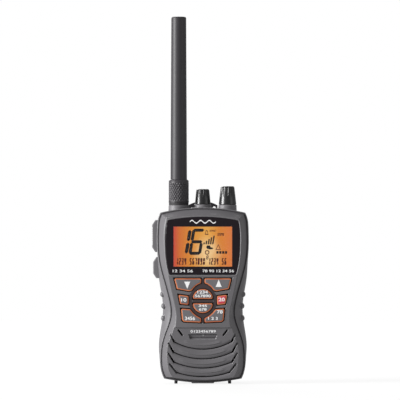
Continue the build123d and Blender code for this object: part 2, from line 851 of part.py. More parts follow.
with BuildPart() as lcd_backlight:
    with BuildSketch(at_depth(board_y)):
        with Locations((0, view_z)):
            Rectangle(2 * (view_half + lcd_margin), view_high - view_low + 2 * lcd_margin)
    extrude(amount=board_y - lcd_y - lcd_thick)
lcd_backlight.part.label = "lcd_backlight"
export_step(lcd_backlight.part, "parts/lcd_backlight.step")

# ---- eight keys, each with a lip behind the cover that keeps it in ----
for name, outline in key_outlines.items():
    with BuildPart() as key:
        with BuildSketch(at_depth(key_back_y)):
            add(outline)
        extrude(amount=key_back_y - key_front_y)
        fillet(key.faces().sort_by(Axis.Y)[0].edges(), key_edge)
        with BuildSketch(at_depth(key_back_y)):
            add(outline)
            offset(amount=key_lip, kind=Kind.INTERSECTION)
        extrude(amount=key_lip_thick)
    key.part.label = name
    export_step(key.part, f"parts/{name}.step")

with BuildPart() as keypad_mat:
    with BuildSketch(at_depth(board_y)):
        add(polygon_sketch([(mat_half[0], mat_low), (mat_half[1], mat_high)], mirrored=True))
    extrude(amount=mat_thick)
    with BuildSketch(at_depth(mat_y)):
        with Locations(*[outline.bounding_box().center() for outline in key_outlines.values()]):
            Circle(pad_radius)
    extrude(amount=pad_height)
keypad_mat.part.label = "keypad_mat"
export_step(keypad_mat.part, "parts/keypad_mat.step")

# ---- circuit boards, connector, shield and chassis ----
with BuildPart() as display_board:
    with BuildSketch(at_depth(board_back_y)):
        add(polygon_sketch([(board_waist, board_low), (board_waist, board_narrow_z),
                            (board_half, board_wide_z), (board_half, board_high)], mirrored=True))
    extrude(amount=board_thick)
display_board.part.label = "display_board"
export_step(display_board.part, "parts/display_board.step")

with BuildPart() as board_connector:
    with BuildSketch(at_depth(radio_board_y)):
        with Locations((0, connector_z)):
            Rectangle(connector_width, connector_height)
    extrude(amount=radio_board_y - board_back_y)
board_connector.part.label = "board_connector"
export_step(board_connector.part, "parts/board_connector.step")

with BuildPart() as radio_board:
    with BuildSketch(at_depth(radio_board_y + board_thick)):
        add(polygon_sketch([(board_half, radio_low), (board_half, radio_high)], mirrored=True))
    extrude(amount=board_thick)
radio_board.part.label = "radio_board"
export_step(radio_board.part, "parts/radio_board.step")

with BuildPart() as rf_shield:
    with BuildSketch(at_depth(radio_board_y)):
        add(polygon_sketch([(shield_half, shield_low), (shield_half, shield_high)], mirrored=True))
    extrude(amount=shield_depth)
    with BuildSketch(at_depth(radio_board_y)):
        add(polygon_sketch([(shield_half - shield_wall, shield_low + shield_wall),
                            (shield_half - shield_wall, shield_high - shield_wall)], mirrored=True))
    extrude(amount=shield_depth - shield_wall, mode=Mode.SUBTRACT)
rf_shield.part.label = "rf_shield"
export_step(rf_shield.part, "parts/rf_shield.step")

chassis_back_y = radio_board_y + board_thick + chassis_thick
with BuildPart() as chassis:
    with BuildSketch(at_depth(chassis_back_y)):
        add(polygon_sketch([(chassis_half, chassis_low), (chassis_half, chassis_high)], mirrored=True))
        with Locations((0, (chassis_low + chassis_high) / 2)):
            with GridLocations(2 * chassis_hole_x, 2 * chassis_hole_z, 2, 2):
                Circle(chassis_hole_r, mode=Mode.SUBTRACT)
    extrude(amount=chassis_thick)
chassis.part.label = "chassis"
export_step(chassis.part, "parts/chassis.step")

with BuildPart() as float_block:
    with BuildSketch(at_depth(back_inside_y - foam_gap)):
        with Locations(((float_left + float_right) / 2, (float_low + float_high) / 2)):
            Rectangle(float_right - float_left, float_high - float_low)
    extrude(amount=back_inside_y - chassis_back_y - 2 * foam_gap)
float_block.part.label = "float_block"
export_step(float_block.part, "parts/float_block.step")

# ---- speaker behind its splash mesh, and the microphone ----
with BuildPart() as speaker_mesh:
    with BuildSketch(at_depth(inside_y + mesh_thick)):
        with Locations((0, speaker_z)):
            Circle(speaker_radius)
    extrude(amount=mesh_thick)
speaker_mesh.part.label = "speaker_mesh"
export_step(speaker_mesh.part, "parts/speaker_mesh.step")

speaker_y = inside_y + mesh_thick
speaker_plane = Plane((0, 0, speaker_z), x_dir=(0, 1, 0), z_dir=(1, 0, 0))
speaker_axis = Axis((0, 0, speaker_z), (0, 1, 0))
magnet_y = speaker_y + speaker_depth
with BuildPart() as speaker_frame:
    with BuildSketch(speaker_plane):
        with BuildLine():
            Polyline((speaker_y, speaker_radius), (speaker_y + 1.2, speaker_radius),
                     (speaker_y + 1.2, speaker_radius - 1.2), (speaker_y + 4.4, magnet_radius),
                     (magnet_y, magnet_radius), (magnet_y, 0), (speaker_y + 5.6, 0),
                     (speaker_y + 5.6, magnet_radius - 1.2), (speaker_y + 4.0, magnet_radius - 1.2),
                     (speaker_y + 0.8, speaker_radius - 2.1), (speaker_y, speaker_radius - 0.9), close=True)
        make_face()
    revolve(axis=speaker_axis)
speaker_frame.part.label = "speaker_frame"
export_step(speaker_frame.part, "parts/speaker_frame.step")

with BuildPart() as speaker_cone:
    with BuildSketch(speaker_plane):
        with BuildLine():
            Polyline((speaker_y, speaker_radius - 1.1), (speaker_y, speaker_radius - 2.3),
                     (speaker_y + 2.9, coil_cap_r), (speaker_y + 1.8, 0), (speaker_y + 2.2, 0),
                     (speaker_y + 3.3, coil_cap_r), (speaker_y + 0.4, speaker_radius - 2.1), close=True)
        make_face()
    revolve(axis=speaker_axis)
speaker_cone.part.label = "speaker_cone"
export_step(speaker_cone.part, "parts/speaker_cone.step")

with BuildPart() as microphone:
    with BuildSketch(at_depth(inside_y + mic_depth)):
        with Locations((0, mic_z)):
            Circle(mic_radius)
    extrude(amount=mic_depth)
microphone.part.label = "microphone"
export_step(microphone.part, "parts/microphone.step")

# ---- squelch and volume: control, shaft and knob ----
for name, x, collar, knob_size in (
    ("squelch", squelch_x, squelch_collar, squelch_knob_size),
    ("volume", volume_x, volume_collar, volume_knob_size),
):
    knob_low_r, knob_top_r, knob_top = knob_size
    knob_low = collar[2] + knob_lift
    with BuildPart() as pot:
        with Locations((x, top_y, collar_base_z - bush_height - pot_height)):
            Box(pot_size, pot_size, pot_height, align=standing)
        with Locations((x, top_y, collar_base_z - bush_height)):
            Cylinder(pot_size / 2, bush_height, align=standing)
        with BuildSketch(Plane.XY.offset(shaft_foot)):
            with Locations((x, top_y)):
                Circle(shaft_radius + slip)
        extrude(amount=huge, mode=Mode.SUBTRACT)
    pot.part.label = f"{name}_pot"
    export_step(pot.part, f"parts/{name}_pot.step")

    with BuildPart() as shaft:
        with Locations((x, top_y, shaft_foot)):
            Cylinder(shaft_radius, knob_top - knob_wall - shaft_foot, align=standing)
        with Locations((x, top_y + shaft_radius - shaft_flat, knob_low)):
            Box(2 * shaft_radius, shaft_radius, huge, align=(Align.CENTER, Align.MIN, Align.MIN),
                mode=Mode.SUBTRACT)
    shaft.part.label = f"{name}_shaft"
    export_step(shaft.part, f"parts/{name}_shaft.step")

    with BuildPart() as knob:
        with BuildSketch(Plane((x, top_y, 0), x_dir=(1, 0, 0), z_dir=(0, -1, 0))):
            with BuildLine():
                Polyline((0, knob_low), (knob_low_r, knob_low), (knob_top_r, knob_top - knob_edge))
                ThreePointArc((knob_top_r, knob_top - knob_edge),
                              (knob_top_r - 0.3 * knob_edge, knob_top - 0.3 * knob_edge),
                              (knob_top_r - knob_edge, knob_top))
                Polyline((knob_top_r - knob_edge, knob_top), (0, knob_top), (0, knob_low))
            make_face()
        revolve(axis=Axis((x, top_y, 0), (0, 0, 1)))
        flute_foot = knob_low + flute_low_share * (knob_top - knob_low)
        with Locations((x, top_y, flute_foot)):
            with PolarLocations(knob_top_r + flute_out, flute_count):
                Cone(flute_foot_r, flute_top_r, knob_top - flute_foot, align=standing, mode=Mode.SUBTRACT)
        with BuildSketch(Plane.XY.offset(knob_low)):
            with Locations((x, top_y)):
                Circle(shaft_radius + slip)
            with Locations((x, top_y + shaft_radius - shaft_flat + slip)):
                Rectangle(2 * shaft_radius + 1, shaft_radius, align=(Align.CENTER, Align.MIN),
                          mode=Mode.SUBTRACT)
        extrude(amount=knob_top - knob_wall - knob_low, mode=Mode.SUBTRACT)
    knob.part.label = f"{name}_knob"
    export_step(knob.part, f"parts/{name}_knob.step")

with BuildPart() as shaft_seals:
    with Locations((squelch_x, top_y, seal_z), (volume_x, top_y, seal_z)):
        Torus(shaft_radius + slip + seal_radius, seal_radius)
shaft_seals.part.label = "shaft_seals"
export_step(shaft_seals.part, "parts/shaft_seals.step")

# ---- antenna: connector in the case, then ring, knurled collar, whip and core that screw onto it ----
with BuildPart() as antenna_connector:
    with BuildSketch(Plane.XY.offset(collar_base_z - hex_height)):
        with Locations((antenna_x, top_y)):
            RegularPolygon(hex_radius, 6, rotation=30)
    extrude(amount=hex_height)
    with Locations((antenna_x, top_y, collar_base_z)):
        Cylinder(neck_radius, antenna_seat_z - collar_base_z, align=standing)
    with Locations((antenna_x, top_y, antenna_seat_z)):
        Cylinder(thread_radius, thread_length, align=standing)
    with Locations((antenna_x, top_y, thread_top_z)):
        Cylinder(rod_radius + socket_gap, 2 * socket_depth, mode=Mode.SUBTRACT)
antenna_connector.part.label = "antenna_connector"
export_step(antenna_connector.part, "parts/antenna_connector.step")

with BuildPart() as antenna_ring:
    with Locations((antenna_x, top_y, antenna_seat_z)):
        Cylinder(ring_radius, ring_thick, align=standing)
        Cylinder(thread_radius + slip, ring_thick, align=standing, mode=Mode.SUBTRACT)
antenna_ring.part.label = "antenna_ring"
export_step(antenna_ring.part, "parts/antenna_ring.step")

with BuildPart() as antenna_collar_part:
    with Locations((antenna_x, top_y, grip_low_z)):
        Cylinder(grip_radius, grip_top_z - grip_low_z, align=standing)
    chamfer(antenna_collar_part.faces().sort_by(Axis.Z)[-1].edges(), grip_edge)
    with Locations((antenna_x, top_y, grip_low_z)):
        Cylinder(thread_radius + slip, thread_top_z + socket_gap - grip_low_z, align=standing,
                 mode=Mode.SUBTRACT)
        Cylinder(rod_radius + slip, huge, align=standing, mode=Mode.SUBTRACT)
    with Locations((antenna_x, top_y, whip_foot_z)):
        Cylinder(spigot_radius + slip, huge, align=standing, mode=Mode.SUBTRACT)
antenna_collar_part.part.label = "antenna_collar"
export_step(antenna_collar_part.part, "parts/antenna_collar.step")

with BuildPart() as antenna_whip:
    with Locations((antenna_x, top_y, grip_top_z)):
        Cone(whip_base_r, whip_tip_r, whip_tip_z - grip_top_z, align=standing)
    fillet(antenna_whip.faces().sort_by(Axis.Z)[-1].edges(), whip_edge)
    with Locations((antenna_x, top_y, whip_foot_z)):
        Cylinder(spigot_radius, spigot_length, align=standing)
        Cylinder(rod_radius + slip, rod_top - whip_foot_z, align=standing, mode=Mode.SUBTRACT)
antenna_whip.part.label = "antenna_whip"
export_step(antenna_whip.part, "parts/antenna_whip.step")

with BuildPart() as antenna_rod:
    with Locations((antenna_x, top_y, rod_low)):
        Cylinder(rod_radius, rod_top - rod_low, align=standing)
antenna_rod.part.label = "antenna_rod"
export_step(antenna_rod.part, "parts/antenna_rod.step")

# ---- push-to-talk button and side button, with their switches ----
button_y = (button_front_y + button_back_y) / 2
button_deep = button_back_y - button_front_y
for name, low, high, reach, tail_high, rib_count in (
    ("ptt_button", ptt_low, ptt_high, ptt_reach, ptt_inner_high, grip_rib_count),
    ("side_button", side_low, side_high, side_reach, side_high, 0),
):
    with BuildPart() as button:
        with BuildSketch(at_depth(button_back_y)):
            add(polygon_sketch([
                (-button_stop, low), (-reach + button_slope, low), (-reach, low + button_taper),
                (-reach, high - button_taper), (-reach + button_slope, high), (-button_stop, high)]))
        extrude(amount=button_deep)
        fillet(button.edges().group_by(Axis.X)[0] + button.edges().group_by(Axis.X)[1], button_edge)
        with BuildSketch(at_side(-button_stop)):
            with Locations((button_y, (low + tail_high) / 2)):
                Rectangle(button_deep, tail_high - low)
        extrude(amount=button_stop - button_tail_x)
        with BuildSketch(at_side(-button_lip_x)):
            with Locations((button_y, (low + tail_high) / 2)):
                Rectangle(button_deep + 2 * button_lip, tail_high - low)
        extrude(amount=button_lip_thick)
        for rib in range(rib_count):
            rib_z = (low + high) / 2 + (rib - (rib_count - 1) / 2) * grip_rib_pitch
            with Locations((-reach, button_y, rib_z)):
                Box(2 * grip_rib, button_deep + 1, grip_rib_pitch / 2, mode=Mode.SUBTRACT)
    button.part.label = name
    export_step(button.part, f"parts/{name}.step")

with BuildPart() as side_switches:
    for low, high in ((ptt_low, ptt_inner_high), (side_low, side_high)):
        with BuildSketch(at_side(-switch_back_x)):
            with Locations((button_y, (low + high) / 2)):
                Rectangle(switch_size, switch_size)
        extrude(amount=-switch_thick)
        with BuildSketch(at_side(-switch_back_x - switch_thick)):
            with Locations((button_y, (low + high) / 2)):
                Circle(plunger_radius)
        extrude(amount=-plunger_rise)
side_switches.part.label = "side_switches"
export_step(side_switches.part, "parts/side_switches.step")

with BuildPart() as side_board:
    with BuildSketch(at_side(-switch_back_x)):
        with Locations((button_y, (side_board_low + side_board_high) / 2)):
            Rectangle(button_deep - 2, side_board_high - side_board_low)
    extrude(amount=side_board_thick)
side_board.part.label = "side_board"
export_step(side_board.part, "parts/side_board.step")

# ---- rubber jack cover, a slice of the body's side, and the jack block behind it ----
with BuildPart() as jack_cover:
    for depth, outline in body_sections():
        with BuildSketch(at_depth(depth)):
            add(outline)
    loft()
    with BuildSketch(at_side(jack_cover_x)):
        with Locations(((jack_front_y + jack_back_y) / 2, (jack_low + jack_high) / 2)):
            Rectangle(jack_back_y - jack_front_y, jack_high - jack_low)
    extrude(amount=huge, mode=Mode.INTERSECT)
jack_cover.part.label = "jack_cover"
export_step(jack_cover.part, "parts/jack_cover.step")

with BuildPart() as side_jack:
    with BuildSketch(at_side(jack_block_x - jack_body_depth)):
        with Locations((jack_y, jack_z)):
            Rectangle(jack_body_size[1], jack_body_size[0])
    extrude(amount=jack_body_depth)
    for height, radius in ((jack_z + jack_pitch / 2, jack_big_r), (jack_z - jack_pitch / 2, jack_small_r)):
        with BuildSketch(at_side(jack_block_x - jack_body_depth + 1)):
            with Locations((jack_y, height)):
                Circle(radius)
        extrude(amount=jack_body_depth, mode=Mode.SUBTRACT)
side_jack.part.label = "side_jack"
export_step(side_jack.part, "parts/side_jack.step")

# ---- battery cells, alternating ends, with a plate at each end and a spring at each flat end ----
cell_y = bay_floor_y + cell_gap + cell_radius
cell_rows = [(bay_low + cell_pitch * (row + 0.5), 1 if row % 2 else -1) for row in range(cell_count)]
with BuildPart() as battery_cells:
    for height, nub_side in cell_rows:
        nub_end_x = nub_side * (bay_half - plate_thick)
        with BuildSketch(at_side(nub_end_x)):
            with Locations((cell_y, height)):
                Circle(cell_nub_r)
        extrude(amount=-nub_side * cell_nub)
        with BuildSketch(at_side(nub_end_x - nub_side * cell_nub)):
            with Locations((cell_y, height)):
                Circle(cell_radius)
        extrude(amount=-nub_side * (cell_length - cell_nub))
battery_cells.part.label = "battery_cells"
export_step(battery_cells.part, "parts/battery_cells.step")

with BuildPart() as contact_plates:
    with Locations(*[(side * (bay_half - plate_thick / 2), cell_y, z) for z, _ in cell_rows for side in (-1, 1)]):
        Box(plate_thick, plate_size, plate_size)
contact_plates.part.label = "contact_plates"
export_step(contact_plates.part, "parts/contact_plates.step")

with BuildPart() as contact_springs:
    for height, nub_side in cell_rows:
        coil_height = spring_space - 2 * spring_wire
        start = (-nub_side * (bay_half - plate_thick - spring_wire), cell_y, height)
        with BuildLine() as coil:
            Helix(coil_height / spring_turns, coil_height, spring_radius, center=start, direction=(nub_side, 0, 0))
        with BuildSketch(Plane(coil.line @ 0, z_dir=coil.line % 0)):
            Circle(spring_wire)
        sweep()
contact_springs.part.label = "contact_springs"
export_step(contact_springs.part, "parts/contact_springs.step")

# ---- door seal and captive door screw ----
with BuildPart() as door_seal:
    with BuildSketch(at_depth(door_inside_y)):
        add(polygon_sketch([(tray_half, tray_low), (tray_half, tray_high)], mirrored=True))
        add(polygon_sketch([(bay_half, bay_low), (bay_half, bay_high)], mirrored=True), mode=Mode.SUBTRACT)
    extrude(amount=door_inside_y - bay_rim_y - seal_touch)
    for depth, outline in body_sections(back_wall + slip):
        with BuildSketch(at_depth(depth)):
            add(outline)
    loft(mode=Mode.INTERSECT)
door_seal.part.label = "door_seal"
export_step(door_seal.part, "parts/door_seal.step")

head_low_y = back_y - screw_head_sink - screw_head_depth
with BuildPart() as door_screw:
    with BuildSketch(at_depth(back_y - screw_head_sink)):
        with Locations((0, door_screw_z)):
            Circle(screw_head_r)
    extrude(amount=screw_head_depth)
    chamfer(door_screw.faces().sort_by(Axis.Y)[-1].edges(), screw_edge)
    with BuildSketch(at_depth(head_low_y)):
        with Locations((0, door_screw_z)):
            Circle(screw_shank_r)
    extrude(amount=head_low_y - door_screw_tip_y)
    with Locations((0, back_y - screw_head_sink, door_screw_z)):
        Box(4 * screw_head_r, screw_head_depth, coin_slot, mode=Mode.SUBTRACT)
door_screw.part.label = "door_screw"
export_step(door_screw.part, "parts/door_screw.step")

# ---- case seal, screws and threaded inserts ----
with BuildPart() as case_seal:
    with BuildSketch(at_depth(seat_y + seal_height)):
        add(seam_outline(seal_inset))
        add(seam_outline(seal_inset + seal_width), mode=Mode.SUBTRACT)
    extrude(amount=seal_height)
case_seal.part.label = "case_seal"
export_step(case_seal.part, "parts/case_seal.step")

with BuildPart() as case_inserts:
    with BuildSketch(at_depth(seat_y)):
        with Locations(*posts):
            Circle(insert_radius)
            Circle(case_shank_r + slip, mode=Mode.SUBTRACT)
    extrude(amount=insert_length)
case_inserts.part.label = "case_inserts"
export_step(case_inserts.part, "parts/case_inserts.step")

with BuildPart() as case_screws:
    with BuildSketch(at_depth(screw_seat_y + head_height)):
        with Locations(*posts):
            Circle(head_radius)
    extrude(amount=head_height)
    with BuildSketch(at_depth(screw_seat_y)):
        with Locations(*posts):
            Circle(case_shank_r)
    extrude(amount=screw_seat_y - seat_y + shank_reach)
    with BuildSketch(at_depth(screw_seat_y + head_height)):
        with Locations(*posts):
            Rectangle(cross_span, cross_width)
            Rectangle(cross_width, cross_span)
    extrude(amount=head_height / 2, mode=Mode.SUBTRACT)
case_screws.part.label = "case_screws"
export_step(case_screws.part, "parts/case_screws.step")

# ---- feet, charging block and its contacts ----
with BuildPart() as feet:
    with BuildSketch(Plane.XY):
        with Locations(*[(side * foot_x, y) for side in (-1, 1) for y in feet_y]):
            Circle(foot_radius)
    extrude(amount=foot_top_z)
    fillet(feet.faces().filter_by(Axis.Z).group_by(Axis.Z)[0].edges(), foot_tip)
feet.part.label = "feet"
export_step(feet.part, "parts/feet.step")

with BuildPart() as contact_block:
    with BuildSketch(Plane.XY):
        with Locations((0, (block_front_y + block_back_y) / 2)):
            Rectangle(2 * block_half, block_back_y - block_front_y)
        with Locations((contact_x, contact_y), (-contact_x, contact_y)):
            Circle(contact_radius + slip, mode=Mode.SUBTRACT)
    extrude(amount=block_top_z)
    under = contact_block.faces().sort_by(Axis.Z)[0]
    chamfer(under.outer_wire().edges(), block_edge)
contact_block.part.label = "contact_block"
export_step(contact_block.part, "parts/contact_block.step")

with BuildPart() as charge_contacts:
    with BuildSketch(Plane.XY.offset(contact_sink)):
        with Locations((contact_x, contact_y), (-contact_x, contact_y)):
            Circle(contact_radius)
    extrude(amount=block_top_z - contact_sink)
charge_contacts.part.label = "charge_contacts"
export_step(charge_contacts.part, "parts/charge_contacts.step")

# ---- belt clip on its bracket, with pin and spring ----
with BuildPart() as belt_clip:
    with BuildSketch(at_side(-clip_half)):
        with BuildLine():
            FilletPolyline((blade_y, clip_top), (blade_y, clip_bend_z),
                           (back_y + clip_toe[0], clip_toe[1]), (back_y + clip_lead[0], clip_lead[1]),
                           radius=clip_bend_r)
            offset(amount=clip_thick / 2, side=Side.BOTH)
        make_face()
    extrude(amount=2 * clip_half)
    with BuildSketch(at_depth(back_y + 20)):
        with BuildLine():
            Polyline((-clip_half, clip_shoulder_z), (-clip_half, clip_lead[1] - 4), (clip_half, clip_lead[1] - 4),
                     (clip_half, clip_shoulder_z))
            ThreePointArc((clip_half, clip_shoulder_z), (0, clip_top), (-clip_half, clip_shoulder_z))
        foot = make_face()
        fillet(foot.vertices().group_by(Axis.Y)[0], clip_foot_r)
    extrude(amount=20, mode=Mode.INTERSECT)
    for side in (-1, 1):
        near, far = knuckle_span
        with BuildSketch(at_side(side * near)):
            with Locations((pivot_y, pivot_z)):
                Circle(knuckle_r)
            with Locations(((pivot_y + blade_y) / 2, pivot_z)):
                Rectangle(blade_y - pivot_y, 2 * knuckle_r)
        extrude(amount=side * (far - near))
    with BuildSketch(at_side(-clip_half)):
        with Locations((pivot_y, pivot_z)):
            Circle(clip_pin_r + slip)
    extrude(amount=2 * clip_half, mode=Mode.SUBTRACT)
    with BuildSketch(at_depth(back_y + 20)):
        with Locations((eyelet_x, eyelet_z)):
            Circle(eyelet_radius)
    extrude(amount=20, mode=Mode.SUBTRACT)
belt_clip.part.label = "belt_clip"
export_step(belt_clip.part, "parts/belt_clip.step")

with BuildPart() as clip_bracket:
    with BuildSketch(at_depth(back_y + bracket_thick)):
        with Locations((0, (bracket_low + bracket_high) / 2)):
            RectangleRounded(2 * bracket_half, bracket_high - bracket_low, bracket_round)
        with Locations((bracket_screw_x, bracket_screw_z), (-bracket_screw_x, bracket_screw_z)):
            Circle(bracket_shank[0] + slip, mode=Mode.SUBTRACT)
    extrude(amount=bracket_thick)
    for side in (-1, 1):
        with BuildSketch(at_side(side * ear_inner)):
            with Locations((pivot_y, pivot_z)):
                Circle(knuckle_r)
            with Locations(((back_y + pivot_y) / 2, pivot_z)):
                Rectangle(pivot_y - back_y, 2 * knuckle_r)
        extrude(amount=side * (ear_outer - ear_inner))
    with BuildSketch(at_side(-ear_outer)):
        with Locations((pivot_y, pivot_z)):
            Circle(clip_pin_r)
    extrude(amount=2 * ear_outer, mode=Mode.SUBTRACT)
clip_bracket.part.label = "clip_bracket"
export_step(clip_bracket.part, "parts/clip_bracket.step")

with BuildPart() as clip_pin:
    with BuildSketch(at_side(-ear_outer - pin_end)):
        with Locations((pivot_y, pivot_z)):
            Circle(clip_pin_r)
    extrude(amount=2 * (ear_outer + pin_end))
clip_pin.part.label = "clip_pin"
export_step(clip_pin.part, "parts/clip_pin.step")

with BuildPart() as clip_spring:
    coil_start = (-coil_pitch * coil_turns / 2, pivot_y, pivot_z)
    with BuildLine() as spring_path:
        coil = Helix(coil_pitch, coil_pitch * coil_turns, coil_radius, center=coil_start, direction=(1, 0, 0),
                     mode=Mode.PRIVATE)
        add(coil.rotate(Axis(coil_start, (1, 0, 0)), 90))
    with BuildSketch(Plane(spring_path.line @ 0, z_dir=spring_path.line % 0)):
        Circle(coil_wire)
    sweep()
    for end in (0, 1):
        leg_foot = spring_path.line @ end
        with BuildSketch(Plane(leg_foot, z_dir=(0, 0, 1))):
            Circle(coil_wire)
        extrude(amount=blade_leg if leg_foot.Y > pivot_y else bracket_leg)
clip_spring.part.label = "clip_spring"
export_step(clip_spring.part, "parts/clip_spring.step")

with BuildPart() as bracket_screws:
    with BuildSketch(at_depth(back_y + bracket_thick + bracket_head[1])):
        with Locations((bracket_screw_x, bracket_screw_z), (-bracket_screw_x, bracket_screw_z)):
            Circle(bracket_head[0])
    extrude(amount=bracket_head[1])
    with BuildSketch(at_depth(back_y + bracket_thick)):
        with Locations((bracket_screw_x, bracket_screw_z), (-bracket_screw_x, bracket_screw_z)):
            Circle(bracket_shank[0])
    extrude(amount=bracket_shank[1])
    with BuildSketch(at_depth(back_y + bracket_thick + bracket_head[1])):
        with Locations((bracket_screw_x, bracket_screw_z), (-bracket_screw_x, bracket_screw_z)):
            Rectangle(cross_span, cross_width)
            Rectangle(cross_width, cross_span)
    extrude(amount=bracket_head[1] / 2, mode=Mode.SUBTRACT)
bracket_screws.part.label = "bracket_screws"
export_step(bracket_screws.part, "parts/bracket_screws.step")
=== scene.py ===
import math

import bmesh
import bpy
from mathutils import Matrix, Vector
from mathutils.geometry import convex_hull_2d


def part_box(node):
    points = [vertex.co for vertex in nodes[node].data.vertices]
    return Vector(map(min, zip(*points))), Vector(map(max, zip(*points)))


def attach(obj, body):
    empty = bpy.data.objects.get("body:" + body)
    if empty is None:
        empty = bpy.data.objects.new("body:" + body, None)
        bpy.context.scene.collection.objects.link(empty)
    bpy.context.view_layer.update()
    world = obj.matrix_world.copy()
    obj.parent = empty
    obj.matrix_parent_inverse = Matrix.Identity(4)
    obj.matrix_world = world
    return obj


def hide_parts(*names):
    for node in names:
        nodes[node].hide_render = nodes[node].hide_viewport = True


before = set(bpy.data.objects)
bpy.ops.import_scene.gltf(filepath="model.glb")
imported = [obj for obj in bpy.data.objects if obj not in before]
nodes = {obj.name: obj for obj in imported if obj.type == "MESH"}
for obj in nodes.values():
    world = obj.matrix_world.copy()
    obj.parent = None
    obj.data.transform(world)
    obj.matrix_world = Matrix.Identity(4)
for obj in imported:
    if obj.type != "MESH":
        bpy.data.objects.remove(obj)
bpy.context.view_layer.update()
mm = 0.001


# ---- Studio ----
# A camera with a long lens, level with the radio and square to its face, a broad key lamp on the
# left, a weak low one on the right, one behind, and a pale floor that keeps the radio's shadow.
view_width = 279.5 * mm
camera_at = Vector((-1.95 * mm, -3.0, 127.9 * mm))
sensor = 36.0
camera = bpy.data.objects.new("camera", bpy.data.cameras.new("camera"))
camera.data.sensor_width = sensor
camera.data.lens = sensor * -camera_at.y / view_width
camera.location = camera_at
camera.rotation_euler = (math.radians(90), 0, 0)
bpy.context.collection.objects.link(camera)
bpy.context.scene.camera = camera
bpy.context.scene.view_settings.view_transform = "Standard"


def lamp(name, place, target, size, level):
    """A square lamp; a level of 1 lights a surface that faces it at its written colour."""
    data = bpy.data.lights.new(name, "AREA")
    data.size = size
    aim = Vector(target) - Vector(place)
    data.energy = level * math.pi ** 2 * aim.length_squared
    made = bpy.data.objects.new(name, data)
    made.location = place
    made.rotation_euler = aim.to_track_quat("-Z", "Y").to_euler()
    bpy.context.collection.objects.link(made)


middle = (0, 0, 0.11)
lamp("key_lamp", (-1.5, -0.54, 0.45), middle, size=0.6, level=1.8)
lamp("fill_lamp", (1.3, -0.85, 0.1), middle, size=0.9, level=0.17)
lamp("back_lamp", (-0.3, 1.5, 0.9), middle, size=0.9, level=0.5)


def add_node(tree, kind, inputs=None, **settings):
    """One shader node. inputs maps a socket to a value, or to the output that feeds it."""
    made = tree.nodes.new(kind)
    for name, value in settings.items():
        setattr(made, name, value)
    for key, value in (inputs or {}).items():
        if isinstance(value, bpy.types.NodeSocket):
            tree.links.new(value, made.inputs[key])
        else:
            made.inputs[key].default_value = value
    return made


def computed(tree, operation, *values, **settings):
    """One step of arithmetic on shader values."""
    inputs = dict(enumerate(values))
    return add_node(tree, "ShaderNodeMath", inputs, operation=operation, **settings).outputs[0]


def ranged(tree, value, low, high, start=0.0, end=1.0, **settings):
    """low where the value is start, high where it is end, and in step with it between them."""
    inputs = {"Value": value, "From Min": start, "From Max": end, "To Min": low, "To Max": high}
    return add_node(tree, "ShaderNodeMapRange", inputs, **settings).outputs[0]


gloss_share = 0.2


def seen_directly(tree):
    """1 for rays from the camera or through glass, gloss_share for those off gloss, else 0."""
    path = add_node(tree, "ShaderNodeLightPath").outputs
    clear = computed(tree, "MAXIMUM", path["Is Camera Ray"], path["Is Transmission Ray"])
    gloss = computed(tree, "MULTIPLY", path["Is Glossy Ray"], gloss_share)
    return computed(tree, "MAXIMUM", clear, gloss)


ambient_level = 0.31
world = bpy.data.worlds.new("studio")
bpy.context.scene.world = world
world.use_nodes = True
sky_tree = world.node_tree
sky_tree.nodes.clear()
strength = ranged(sky_tree, seen_directly(sky_tree), ambient_level, 1.0)
sky = add_node(sky_tree, "ShaderNodeBackground", {"Color": (1, 1, 1, 1), "Strength": strength})
add_node(sky_tree, "ShaderNodeOutputWorld", {"Surface": sky.outputs[0]})

floor_size = 3.0
floor_drop = 0.05 * mm
paper_grey = (0.16, 0.16, 0.16, 1)
paper_glow, paper_glow_seen = 0.25, 0.86
bpy.ops.mesh.primitive_plane_add(size=floor_size, location=(0, 0, -floor_drop))
floor = bpy.context.object
floor.name = "floor"
paper = bpy.data.materials.new("floor_paper")
paper.use_nodes = True
paper_tree = paper.node_tree
paper_tree.nodes.clear()
lit = add_node(paper_tree, "ShaderNodeBsdfDiffuse", {"Color": paper_grey})
shown = ranged(paper_tree, seen_directly(paper_tree), paper_glow, paper_glow_seen)
glow = add_node(paper_tree, "ShaderNodeEmission", {"Strength": shown})
paper_mix = add_node(paper_tree, "ShaderNodeAddShader", {0: lit.outputs[0], 1: glow.outputs[0]})
add_node(paper_tree, "ShaderNodeOutputMaterial", {"Surface": paper_mix.outputs[0]})
floor.data.materials.append(paper)


# ---- Case: front cover, rear body and battery door ----
# Injection-moulded plastic with a fine spark-eroded texture, screwed together round a seal. Edges
# are rubbed a little lighter and smoother where hands and boat gear touch them.
def tint(red, green, blue):
    """A colour given in screen steps of 0 to 255, as a shader takes it."""
    steps = [c / 255 for c in (red, green, blue)]
    return (*(c / 12.92 if c <= 0.04045 else ((c + 0.055) / 1.055) ** 2.4 for c in steps), 1.0)


def noise(tree, where, scale, detail=2.0):
    """A cloudy pattern over the surface. scale is how many clouds there are to the metre."""
    inputs = {"Vector": where, "Scale": scale, "Detail": detail}
    return add_node(tree, "ShaderNodeTexNoise", inputs).outputs[0]


def object_place(tree):
    """Where on its piece a point of the surface lies."""
    return add_node(tree, "ShaderNodeTexCoord").outputs["Object"]


def blended(tree, share, first, second):
    """The colour that lies this share of the way from the first to the second."""
    inputs = {"Factor": share, 6: first, 7: second}
    return add_node(tree, "ShaderNodeMix", inputs, data_type="RGBA").outputs[2]


def scaled(tree, colour, level):
    """A colour made lighter or darker by a level."""
    inputs = {0: colour, "Scale": level}
    return add_node(tree, "ShaderNodeVectorMath", inputs, operation="SCALE").outputs[0]


